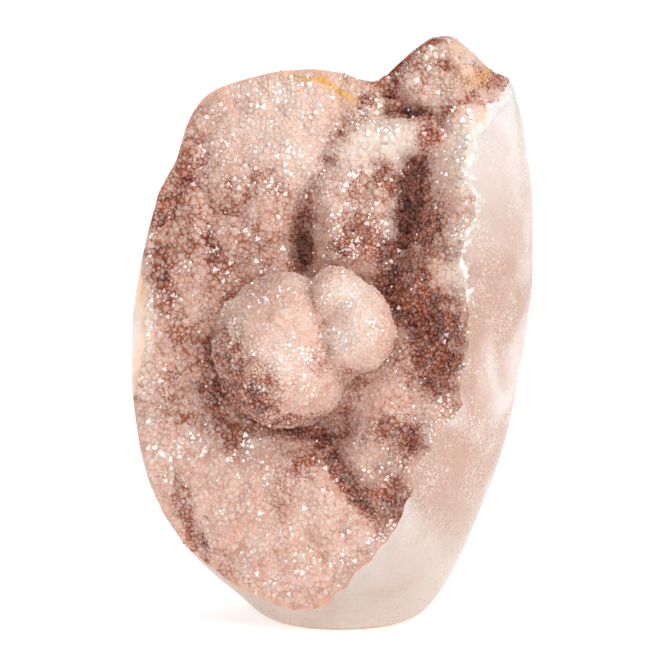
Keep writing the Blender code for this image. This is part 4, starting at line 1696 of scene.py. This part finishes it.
@dataclass(frozen=True)
class QuartzPoint:
    """Proportions of a quartz point that ends in three broad and three narrow faces."""

    half_broad: float = 38.0
    steepness: float = 0.85
    depth: float = 1.8
    around: int = 6
    # How far corners, edges and ends stray, as shares of the radius
    uneven: float = 0.12
    uneven_turn: float = 0.05
    uneven_level: float = 0.2
    uneven_end: float = 0.15
    # Share of that on points that flash, whose faces are flat and regular
    flash_uneven: float = 0.25
    # The value stored at the corners around, at the end and at the root
    ring_tip: float = 0.35
    end_tip: float = 1.0
    root_tip: float = -0.8

    def sides(self, axis: Array) -> tuple[Array, Array]:
        """Finds directions across points.

        Args:
            axis: The way each point grows, of length 1.

        Returns:
            Two directions for each point, square to its axis and to each other.
        """
        side = np.cross(axis, np.where(np.abs(axis[:, 2:]) < 0.8, [[0.0, 0.0, 1.0]], [[1.0, 0.0, 0.0]]))
        side /= lengths(side)
        return side, np.cross(axis, side)

    def facing(self, away: Array, wanted: Array, slope: Array) -> tuple[Array, Array]:
        """Turns points so that one broad face of each looks the wanted way.

        Args:
            away: Direction out of the bed at each point.
            wanted: The way the broad face is to look, of length 1.
            slope: Steepness of each point, as a share of the steepest.

        Returns:
            The axis of each point and its turn about it.
        """
        tilt = np.arctan(self.steepness * slope / math.cos(math.radians(self.half_broad)))[:, None]
        across = away - wanted * (away * wanted).sum(axis=1)[:, None]
        across /= np.maximum(lengths(across), 1e-6)
        axis = wanted * np.cos(tilt) + across * np.sin(tilt)
        side, other = self.sides(axis)
        turn = np.arctan2((wanted * other).sum(axis=1), (wanted * side).sum(axis=1)) / FULL_TURN
        return axis, turn

    def mesh(self, name: str, stand: Stand, rng: np.random.Generator) -> bpy.types.Mesh:
        """Makes many points as one mesh, each of them closed.

        Args:
            name: The mesh's name.
            stand: The points.
            rng: Source of the small differences between them.

        Returns:
            The joined mesh, with tip running from below 0 in the bed to 1 at the ends.
        """
        count, around = len(stand.place), self.around
        stray = np.where(stand.flash, self.flash_uneven, 1.0)
        radius, axis = stand.radius, stand.axis
        thirds = np.repeat((0.0, 120.0, 240.0), 2)
        broad = np.radians(np.tile((-1.0, 1.0), 3) * self.half_broad + thirds)
        angle = broad[None, :] + FULL_TURN * stand.turn[:, None]
        angle = angle + rng.normal(0.0, self.uneven_turn, (count, around)) * stray[:, None]
        side, other = self.sides(axis)
        out = side[:, None, :] * np.cos(angle)[..., None] + other[:, None, :] * np.sin(angle)[..., None]
        change = rng.uniform(-self.uneven, self.uneven, (count, around)) * stray[:, None]
        reach = radius[:, None] * (1.0 + change)
        drop = rng.uniform(-self.uneven_level, self.uneven_level, (count, around))
        level = stand.body[:, None] + drop * (radius * stray)[:, None]
        ring = stand.place[:, None, :] + out * reach[..., None] + axis[:, None, :] * level[..., None]
        rise = stand.body + self.steepness * radius * stand.slope
        shift = rng.uniform(-self.uneven_end, self.uneven_end, (count, 2)) * (radius * stray)[:, None]
        apex = stand.place + axis * rise[:, None] + side * shift[:, :1] + other * shift[:, 1:]
        end = stand.place - axis * stand.root[:, None]
        points = np.concatenate([ring, apex[:, None, :], end[:, None, :]], axis=1).reshape(-1, 3)
        triangles = []
        for k in range(around):
            after = (k + 1) % around
            triangles += [(k, after, around), (after, k, around + 1)]
        corners = np.array(triangles)[None] + (np.arange(count) * self.corners)[:, None, None]
        mesh = mesh_of(name, points, corners.reshape(-1, 3))
        set_value(mesh, "tip", np.tile([self.ring_tip] * around + [self.end_tip, self.root_tip], count))
        return mesh

    @property
    def corners(self) -> int:
        """How many corners one point has."""
        return self.around + 2


def mesh_of(name: str, points: Array, triangles: Array) -> bpy.types.Mesh:
    """Makes a flat-shaded mesh of triangles.

    Args:
        name: The mesh's name.
        points: Rows of x, y, z, in millimetres.
        triangles: Rows of three point numbers.

    Returns:
        The new mesh, in metres.
    """
    mesh = bpy.data.meshes.new(name)
    mesh.vertices.add(len(points))
    mesh.vertices.foreach_set("co", (points * MM).astype(np.float32).ravel())
    mesh.loops.add(triangles.size)
    mesh.loops.foreach_set("vertex_index", triangles.astype(np.int32).ravel())
    mesh.polygons.add(len(triangles))
    mesh.polygons.foreach_set("loop_start", np.arange(0, triangles.size, 3, dtype=np.int32))
    mesh.update(calc_edges=True)
    mesh.validate()
    mesh.shade_flat()
    return mesh


def lengths(rows: Array) -> Array:
    """Length of each row, as a column."""
    return np.linalg.norm(rows, axis=1)[:, None]


def thin_out(points: Array, spacing: Array) -> Array:
    """Picks points, in their order, that keep their distance from each other.

    Args:
        points: Rows of x, y, z.
        spacing: Room that each point keeps free around it.

    Returns:
        The numbers of the points kept.
    """
    tree = tree_of(points)
    free = [True] * len(points)
    kept = []
    for number, (point, room) in enumerate(zip(points, spacing)):
        if free[number]:
            kept.append(number)
            for _, other, _ in tree.find_range(point, room):
                free[other] = False
    return np.array(kept)


@dataclass(frozen=True)
class Growth:
    """How one class of quartz points grows, in millimetres."""

    grain: Grain
    spacing: float
    # Radius of the smallest and largest, as shares of the spacing
    smallest: float
    largest: float
    lean: float


def on_tip(points: Array) -> Array:
    """Tells which places belong to the tip over the hollow."""
    u, w, _ = to_face(points)
    return (w > 118.0) & (u > 10.0)


@dataclass(frozen=True)
class Lamp:
    """A square soft light, in metres."""

    name: str
    place: tuple[float, float, float]
    size: float
    glow: float


KEY = Lamp("key", (0.75, -0.75, 0.85), 0.50, 8.6)
TOP = Lamp("top", (0.25, -0.35, 1.10), 0.32, 8.8)
LEFT = Lamp("left", (-0.95, -0.50, 0.55), 0.20, 8.5)
FRONT = Lamp("front", (0.15, -1.20, 0.45), 0.25, 8.0)
PAPER = Lamp("paper", (0.0, 0.9, 1.2), 0.9, 2.4)


@dataclass
class CrystalCrust:
    """The druse: a bed over the hollow and the knob, and the points that stand on it."""

    outer: OuterForm
    face: OpenFace
    knob: Knob
    point: QuartzPoint = QuartzPoint()
    bed_spacing: float = 0.8
    back_spacing: float = 1.6
    growths: tuple[Growth, ...] = (
        Growth(Grain.COARSE, 1.50, 0.84, 1.08, 0.30),
        Growth(Grain.FINE, 0.76, 0.85, 1.12, 0.38),
    )
    seed: int = 5
    tries: float = 7.0
    most_in_a_piece: int = 16000
    # Where the bed's cut edge stands free, and from which reach on it is pale
    free_past: float = -8.0
    free_above: float = 121.0
    pale_reach: float = 0.972
    pale_width: float = 0.016
    cut_share: float = 1.1
    pale_share: float = 0.95
    bed_tip: float = -0.3
    bed_grain: float = 0.5
    rim: float = 1.2
    no_rim: float = 12.0
    sharp_from: float = 50.0
    # What counts as the polished outside of the bed, and as behind its front
    outside_reach: float = 0.992
    outside_top: float = 0.4
    behind: float = 0.15
    showing: float = -0.5
    # How far out points stand, with the share of their room kept free at the edge and on the tip
    edge_reach: float = 0.996
    worn_reach: float = 0.1
    half_width: float = 46.0
    edge_share: float = 0.7
    tip_edge_share: float = 0.3
    most_past_border: float = 1.5
    least_outward: float = 0.45
    second_room: float = 0.62
    # Sizes of points: on the knob, in the hollow, and more on the flank and the tip
    knob_size: float = 0.64
    hollow_size: float = 0.76
    flank: Patch = Patch(-38.0, 68.0, 16.0, 42.0, 5, 0.24, 3.0)
    tip: Patch = Patch(24.0, 126.0, 12.0, 11.0, 0, 0.12, 4.0)
    # Cream band along the border
    band_at: float = -1.2
    band_width: float = 2.8
    band_share: float = 0.75
    band_low: float = 75.0
    band_high: float = 120.0
    # Share of points that stray from their neighbours, and how far they and the others lean
    strays: float = 0.45
    stray_lean: float = 0.7
    lean: float = 0.2
    drift: float = 2.4
    drift_pitch: float = 5.0
    # Lamps that points flash in, the strongest twice, and the share of a lamp's width that is used
    lamps: tuple[Lamp, ...] = (KEY, KEY, TOP, LEFT, FRONT)
    lamp_share: float = 0.8
    flash_radius: tuple[float, float] = (0.7, 1.2)
    flash_spread: tuple[float, float] = (0.8, 1.15)
    flash_outward: float = 0.5
    flash_rise: float = 0.15
    body_rise: tuple[float, float] = (-0.32, 0.06)
    # Limits of how far out points reach: by the right wall, elsewhere, and for their roots
    wall_past: float = -6.0
    wall_from: float = 20.0
    upper_wall: float = 104.0
    wall_reach: float = 1.012
    open_reach: float = 0.999
    root_reach: float = 0.965
    slack: float = 0.004
    corner_radius: tuple[float, float] = (0.65, 0.85)
    corner_sink: float = 0.08
    shrinks: int = 4
    shrink: float = 0.8
    sink: float = 0.3
    root_cuts: int = 5
    root_cut: float = 0.6
    end_rise: float = 0.9
    side_share: float = 0.8

    def build_bed(self) -> bpy.types.Object:
        """Makes the closed bed that the points grow on.

        Returns:
            The bed, with its cut edge in a material slot of its own.
        """
        bed = self.outer.solid("druse_bed")
        combine(bed, self.face.block("front", self.bed_spacing, True), Join.KEEP_SHARED)
        combine(bed, self.knob.solid("knob"), Join.ADD)
        combine(bed, self.face.block("back", self.back_spacing, False), Join.CUT)
        keep_largest(bed)
        mesh = bed.data
        points = points_of(mesh)
        for name, values in self.tints(points).items():
            set_value(mesh, name, values)
        u, w, _ = to_face(points)
        free_edge = (self.face.past_border(u, w) < self.free_past) | (w > self.free_above)
        cut = np.clip((self.outer.reach(points) - self.pale_reach) / self.pale_width, 0.0, 1.0) * free_edge
        worn = np.maximum(self.face.worn.spread(u, w), self.cut_share * cut)
        set_value(mesh, "tip", self.pale_share * worn + self.bed_tip)
        set_value(mesh, "grain", np.full(len(points), self.bed_grain))
        set_value(mesh, "rim", np.where(self.face.by_border(points), self.rim, self.no_rim))
        mesh.materials.clear()
        mesh.materials.append(DruseFinish("druse_floor", softness=0.0).material())
        mesh.materials.append(PolishFinish("polished_crust_edge").material())
        outside = self.cut_faces(mesh)
        mesh.polygons.foreach_set("material_index", outside.astype(np.int32))
        mesh.shade_smooth()
        mesh.set_sharp_from_angle(angle=math.radians(self.sharp_from))
        return bed

    def cut_faces(self, mesh: bpy.types.Mesh) -> Array:
        """Tells which triangles of the bed lie on the polished outside.

        Args:
            mesh: The bed's mesh.

        Returns:
            True for each triangle on the outside.
        """
        middle = points_of(mesh)[triangles_of(mesh)].mean(axis=1)
        u, w, h = to_face(middle)
        behind = self.face.front(u, w) - h > self.behind
        x, y, z = middle.T
        over_top = z > self.outer.top_at(x, y) - self.outside_top
        outside = (self.outer.reach(middle) > self.outside_reach) | over_top
        return outside & behind & ~self.face.on_corner(middle)

    def open_ground(self, mesh: bpy.types.Mesh) -> Array:
        """Picks the triangles of the bed that points may stand on.

        Args:
            mesh: The bed's mesh.

        Returns:
            Rows of three point numbers.
        """
        corners = triangles_of(mesh)
        middle = points_of(mesh)[corners].mean(axis=1)
        u, w, h = to_face(middle)
        in_front = (h > self.face.front(u, w) + self.showing) | self.face.on_corner(middle)
        return corners[~self.cut_faces(mesh) & in_front]

    def tints(self, points: Array) -> dict[str, Array]:
        """Works out the stains, painted shade, painted highlights and colours of places on the druse.

        Args:
            points: Rows of x, y, z, in millimetres.

        Returns:
            Shares from 0 to 1 by name: stain_and_painted_shade, cream_and_painted_highlight and ochre.
        """
        u, w, _ = to_face(points)
        on_knob = self.on_knob(points)
        hollow = np.clip(self.face.hollow(u, w) / 3.0, 0.0, 1.0)
        sunk = np.clip(-self.face.lumps(u, w), 0.0, 1.2)
        # Painted shade, partly iron gathered low: the stain share grows in the druse's hollows and in the
        # gaps between its lumps
        stain_and_painted_shade = sum_of(STAINS_AND_PAINTED_SHADE, u, w) * (0.85 + 0.3 * hollow) + 0.15 * hollow
        stain_and_painted_shade = np.where(on_knob, sum_of(KNOB_STAINS_AND_PAINTED_SHADE, u, w), stain_and_painted_shade * (0.9 + 0.6 * sunk) + 0.18 * sunk)
        clumps = np.clip(1.8 * clouds(points, 2.2, 42.0) - 0.4, 0.0, 1.0)
        stain_and_painted_shade = stain_and_painted_shade * (0.35 + 1.05 * clouds(points, 4.0, 41.0) + 0.75 * clumps)
        across_band = (self.face.past_border(u, w) - self.band_at) / self.band_width
        band = self.band_share * np.exp(-(across_band**2)) * (w > self.band_low) * (w < self.band_high)
        # On the knob this share is mostly painted highlight; elsewhere it is milky crust, with a painted
        # highlight on the brow's top
        cream_and_painted_highlight = np.where(on_knob, 0.05 + sum_of(KNOB_PAINTED_HIGHLIGHTS, u, w), sum_of(CREAM_AND_PAINTED_HIGHLIGHT, u, w) + 0.7 * band)
        return {
            "stain_and_painted_shade": np.clip(stain_and_painted_shade * (1.0 - 0.8 * band), 0.0, 1.3),
            "cream_and_painted_highlight": np.clip(cream_and_painted_highlight, 0.0, 1.0),
            "ochre": np.where(on_knob, 0.0, np.clip(sum_of(OCHRE, u, w), 0.0, 1.0)),
        }

    def on_knob(self, points: Array) -> Array:
        """Tells which places belong to the knob."""
        u, w, h = to_face(points)
        return (self.knob.closeness(u, w, h) < 1.12) & (h > self.face.height(u, w) + 1.5)

    def coarseness(self, points: Array) -> Array:
        """Works out the size of points, smaller at the border.

        Args:
            points: Rows of x, y, z, in millimetres.

        Returns:
            The size at each place, 1 on the broad left part.
        """
        u, w, _ = to_face(points)
        more = np.maximum(self.flank.spread(u, w), self.tip.spread(u, w))
        size = np.where(self.on_knob(points), self.knob_size, self.hollow_size + more)
        size = size * (1.0 - 0.4 * np.clip(self.face.past_border(u, w) + 2.5, 0.0, 1.0))
        return size * (0.85 + 0.3 * clouds(points, 6.0, 21.0))

    def flashing(self, points: Array) -> Array:
        """Works out how many points turn a face to the light, in clusters.

        Args:
            points: Rows of x, y, z, in millimetres.

        Returns:
            Their share at each place.
        """
        u, w, _ = to_face(points)
        cluster = np.clip(3.2 * clouds(points, 4.0, 51.0) - 1.6, 0.0, 1.0)
        wanted = sum_of(FLASHES, u, w)
        return 0.02 + (0.4 + 0.6 * wanted) * cluster + 0.55 * wanted

    def towards_light(self, rng: np.random.Generator, place: Array) -> Array:
        """Picks the ways that flashing faces look.

        Args:
            rng: Source of the picks.
            place: Where the faces are, in millimetres.

        Returns:
            Directions of length 1, between the viewer and one of the lamps.
        """
        count = len(place)
        pick = rng.integers(0, len(self.lamps), count)
        size = np.array([lamp.size for lamp in self.lamps])[pick]
        lamp = np.array([lamp.place for lamp in self.lamps])[pick]
        lamp = lamp + rng.uniform(-0.5, 0.5, (count, 3)) * (self.lamp_share * size)[:, None]
        lamp -= place * MM
        way = lamp / lengths(lamp) + TO_VIEWER
        return way / lengths(way)

    def farthest_out(self, stand: Stand) -> Array:
        """Tells how far out points reach with their ends and sides.

        Args:
            stand: The points.

        Returns:
            1 on the polished surface, less inside it and more outside.
        """
        level = stand.place * np.array([1.0, 1.0, 0.0])
        sideways = level / lengths(level)
        half = self.side_share * stand.radius[:, None]
        spots = (
            stand.place + stand.axis * (stand.body + self.end_rise * stand.radius)[:, None],
            stand.place + sideways * half,
            stand.place + np.array([[0.0, 0.0, 1.0]]) * half,
        )
        return np.max([self.outer.reach(spot) for spot in spots], axis=0)

    def build_points(self, bed: bpy.types.Object) -> list[bpy.types.Object]:
        """Grows the quartz points.

        Args:
            bed: The bed they stand on.

        Returns:
            Joined meshes of points, the coarse ones first.
        """
        rng = np.random.default_rng(self.seed)
        finish = DruseFinish("quartz_points").material()
        ground = self.open_ground(bed.data)
        pieces = []
        taken, taken_room = np.zeros((0, 3)), np.zeros(0)
        for growth in self.growths:
            place, away, size = self.scatter(growth, bed.data, ground, rng)
            room = np.concatenate([taken_room, size * growth.spacing])
            kept = thin_out(np.concatenate([taken, place]), room)
            kept = kept[kept >= len(taken)] - len(taken)
            place, away, size = place[kept], away[kept], size[kept]
            taken = np.concatenate([taken, place])
            taken_room = np.concatenate([taken_room, size * growth.spacing * self.second_room])
            stand = self.kept_inside(self.grow(growth, place, away, size, rng))
            pieces += self.join(growth, stand, rng, finish)
        return pieces

    def scatter(
        self, growth: Growth, mesh: bpy.types.Mesh, ground: Array, rng: np.random.Generator
    ) -> tuple[Array, Array, Array]:
        """Scatters places over the open ground, and leaves out those too near its edge.

        Args:
            growth: The class of points.
            mesh: The bed's mesh.
            ground: The triangles that points may stand on.
            rng: Source of the places.

        Returns:
            The places in millimetres, the direction out of the bed and the size of points there.
        """
        points, normals = points_of(mesh), normals_of(mesh)
        first, second, third = (points[ground[:, k]] for k in range(3))
        area = lengths(np.cross(second - first, third - first))[:, 0]
        size = self.coarseness(points[ground].mean(axis=1))
        weight = area / size**2
        count = int(self.tries * weight.sum() / growth.spacing**2)
        chosen = rng.choice(len(ground), count, p=weight / weight.sum())
        shares = rng.dirichlet((1.0, 1.0, 1.0), count)[..., None]
        place = (points[ground[chosen]] * shares).sum(axis=1)
        away = (normals[ground[chosen]] * shares).sum(axis=1)
        away += np.maximum(0.0, self.least_outward - away @ TO_VIEWER)[:, None] * TO_VIEWER
        away /= lengths(away)
        u, w, _ = to_face(place)
        on_side = self.face.past_border(u, w) > self.most_past_border
        share = self.edge_share * np.where(on_tip(place), self.tip_edge_share, 1.0)
        edge = self.edge_reach - self.worn_reach * self.face.worn.spread(u, w)
        edge = edge - share * growth.spacing * size[chosen] / self.half_width
        inside = (self.outer.reach(place) < edge) & ~on_side | self.face.on_corner(place)
        return place[inside], away[inside], size[chosen][inside]

    def grow(self, growth: Growth, place: Array, away: Array, size: Array, rng: np.random.Generator) -> Stand:
        """Gives points their lean, turn and size.

        Args:
            growth: The class of points.
            place: Where each point stands, in millimetres.
            away: Direction out of the bed at each point.
            size: Size of the points there.
            rng: Source of the differences between points.

        Returns:
            The points, before those that stand out of the stone are cut back.
        """
        count = len(place)
        drift = np.stack([clouds(place, self.drift_pitch, seed) - 0.5 for seed in (31.0, 32.0, 33.0)], axis=1)
        turn = 0.5 * clouds(place, self.drift_pitch, 34.0) + rng.normal(0.0, 0.02, count)
        stray = rng.random(count) < self.strays
        turn[stray] = rng.random(stray.sum())
        slope = 0.5 + 0.5 * clouds(place, 6.0, 35.0) + rng.normal(0.0, 0.04, count)
        slope[stray] = rng.uniform(0.45, 1.0, stray.sum())
        lean = growth.lean * np.where(stray, self.stray_lean, self.lean)
        axis = away + rng.normal(0.0, 1.0, (count, 3)) * lean[:, None] + self.drift * growth.lean * drift
        axis /= lengths(axis)
        flash = (rng.random(count) < self.flashing(place)) & ~self.face.on_corner(place)
        lit_axis, lit_turn = self.point.facing(away, self.towards_light(rng, place), slope)
        flash &= (lit_axis * away).sum(axis=1) > self.flash_outward
        axis[flash], turn[flash] = lit_axis[flash], lit_turn[flash]
        radius = growth.spacing * size * rng.uniform(growth.smallest, growth.largest, count)
        spread = rng.uniform(*self.flash_spread, flash.sum())
        radius[flash] = np.clip(radius[flash], *self.flash_radius) * spread
        body = radius * (rng.uniform(*self.body_rise, count) + self.flash_rise * flash)
        return Stand(place, away, axis, turn, slope, radius, body, self.point.depth * radius, flash)

    def kept_inside(self, stand: Stand) -> Stand:
        """Makes points smaller that stand out of the stone, and leaves out those that still do.

        Args:
            stand: The points.

        Returns:
            The points that stay.
        """
        place, axis, radius, body = stand.place, stand.axis, stand.radius, stand.body
        past_border = self.face.past_border(*to_face(place)[:2])
        by_wall = (past_border > self.wall_past) & (place[:, 0] > self.wall_from)
        corner = self.face.on_corner(place)
        limit = np.where(by_wall, self.wall_reach, self.open_reach)
        radius[corner] = np.clip(radius[corner], *self.corner_radius)
        body[corner] -= self.corner_sink * radius[corner]
        for _ in range(self.shrinks):
            outside = (self.farthest_out(stand) > limit) & ~corner
            radius[outside] *= self.shrink
            body[outside] -= self.sink * radius[outside]
        stand.root = self.point.depth * radius
        for _ in range(self.root_cuts):
            end = place - axis * stand.root[:, None]
            stand.root[self.outer.reach(end) > self.root_reach] *= self.root_cut
        upper_wall = by_wall & (place[:, 2] > self.upper_wall)
        inside = self.farthest_out(stand) < limit + self.slack
        return stand.chosen(np.nonzero(inside | corner | upper_wall)[0])

    def join(
        self, growth: Growth, stand: Stand, rng: np.random.Generator, finish: bpy.types.Material
    ) -> list[bpy.types.Object]:
        """Joins points in meshes of no more than a piece may hold.

        Args:
            growth: The class of points.
            stand: The points.
            rng: Source of the differences between points.
            finish: Their material.

        Returns:
            One or more joined meshes.
        """
        pieces = []
        for number, start in enumerate(range(0, len(stand.place), self.most_in_a_piece), 1):
            part = stand.chosen(slice(start, start + self.most_in_a_piece))
            name = f"{growth.grain.value}_points_{number}"
            mesh = self.point.mesh(name, part, rng)
            each = self.point.corners
            values = {"flash": part.flash.astype(float), **self.tints(part.place)}
            values["grain"] = rng.random(len(part.place))
            for label, numbers in values.items():
                set_value(mesh, label, np.repeat(numbers, each))
            away = mesh.attributes.new("away", "FLOAT_VECTOR", "POINT")
            away.data.foreach_set("vector", np.repeat(part.away, each, axis=0).astype(np.float32).ravel())
            mesh.materials.append(finish)
            pieces.append(add_object(name, mesh))
        return pieces


@dataclass
class PolishedStone:
    """The polished body behind the druse."""

    outer: OuterForm
    face: OpenFace
    joint_spacing: float = 1.6
    # Distance over which the rim by the druse fades, and where it starts
    rim_reach: float = 12.0
    rim_start: float = 1.8
    # What counts as the edge that meets the druse
    at_joint: float = 0.3
    outside_reach: float = 0.992
    sharp_from: float = 40.0

    def build(self) -> bpy.types.Object:
        """Makes the body and measures how far each point is from the druse.

        Returns:
            The closed body, with its finish.
        """
        body = self.outer.solid("polished_body")
        combine(body, self.face.block("joint", self.joint_spacing, False), Join.KEEP_SHARED)
        keep_largest(body)
        mesh = body.data
        points = points_of(mesh)
        u, w, h = to_face(points)
        joint = np.abs(self.face.back(u, w) - h) < self.at_joint
        edge = tree_of(points[joint & (self.outer.reach(points) > self.outside_reach)])
        rim = np.array([min(edge.find(point)[2] + self.rim_start, self.rim_reach) for point in points])
        rim[~self.face.by_border(points)] = self.rim_reach
        set_value(mesh, "rim", rim)
        mesh.materials.clear()
        mesh.materials.append(PolishFinish().material())
        mesh.shade_smooth()
        mesh.set_sharp_from_angle(angle=math.radians(self.sharp_from))
        return body


@dataclass
class Studio:
    """Camera, soft lights and plain paper, in metres."""

    distance: float = 2.0
    sensor: float = 36.0
    sight: float = 20.0
    # How far the aim lies in front of the face's plane, in millimetres
    aim_height: float = 15.0
    lamps: tuple[Lamp, ...] = (KEY, TOP, LEFT, FRONT, PAPER)
    lit_height: float = 0.07
    air: Colour = (1.0, 1.0, 1.0)
    air_glow: float = 0.30
    floor_size: float = 6.0

    def build_camera(self) -> None:
        """Puts the camera where the photograph was taken from."""
        centre = PHOTO_WIDTH / 2.0
        u = (centre - BASE_PIXEL[0]) / PIXELS_PER_MM
        w = (BASE_PIXEL[1] - centre) / PIXELS_PER_MM
        aim = Vector(to_world(np.array(u), np.array(w), np.array(self.aim_height)) * MM)
        back = Vector((0.0, -math.cos(FACE_LEAN), math.sin(FACE_LEAN)))
        data = bpy.data.cameras.new("camera")
        data.sensor_width = self.sensor
        data.lens = self.sensor * self.distance / (PHOTO_WIDTH / PIXELS_PER_MM * MM)
        data.clip_end = self.sight
        camera = bpy.data.objects.new("camera", data)
        camera.location = aim + back * self.distance
        camera.rotation_euler = back.to_track_quat("Z", "Y").to_euler()
        bpy.context.scene.collection.objects.link(camera)
        bpy.context.scene.camera = camera

    def add_light(self, lamp: Lamp) -> None:
        """Adds a square soft light that faces the stone.

        Args:
            lamp: Its place, size and brightness.
        """
        data = bpy.data.lights.new(lamp.name, "AREA")
        data.shape = "SQUARE"
        data.size = lamp.size
        data.energy = lamp.glow * math.pi * lamp.size * lamp.size
        light = bpy.data.objects.new(lamp.name, data)
        light.location = lamp.place
        middle = Vector((0.0, 0.0, self.lit_height))
        light.rotation_euler = (Vector(lamp.place) - middle).to_track_quat("Z", "Y").to_euler()
        bpy.context.scene.collection.objects.link(light)

    def build_lights(self) -> None:
        """Lights the stone softly from above, left and right."""
        for lamp in self.lamps:
            self.add_light(lamp)
        world = bpy.data.worlds.new("studio_air")
        world.use_nodes = True
        background = world.node_tree.nodes["Background"].inputs
        background["Color"].default_value = (*self.air, 1.0)
        background["Strength"].default_value = self.air_glow
        bpy.context.scene.world = world
        bpy.context.scene.view_settings.view_transform = "Standard"

    def build_floor(self) -> None:
        """Lays the paper that the stone stands on."""
        half = self.floor_size / 2.0
        mesh = bpy.data.meshes.new("paper")
        corners = [(-half, -half, 0.0), (half, -half, 0.0), (half, half, 0.0), (-half, half, 0.0)]
        mesh.from_pydata(corners, [], [(0, 1, 2, 3)])
        mesh.materials.append(FloorFinish().material())
        add_object("paper", mesh)


def main() -> None:
    """Builds the stone and its studio, and reports each piece."""
    logging.basicConfig(level=logging.INFO, format="%(relativeCreated)d %(message)s")
    studio = Studio()
    studio.build_camera()
    studio.build_lights()
    studio.build_floor()
    outer, face = OuterForm(), OpenFace()
    dress(PolishedStone(outer, face).build(), STONE_NODE)
    crust = CrystalCrust(outer, face, Knob())
    bed = crust.build_bed()
    dress(bed, CRUST_NODE)
    for piece in crust.build_points(bed):
        dress(piece, CRUST_NODE)


if __name__ == "__main__":
    main()
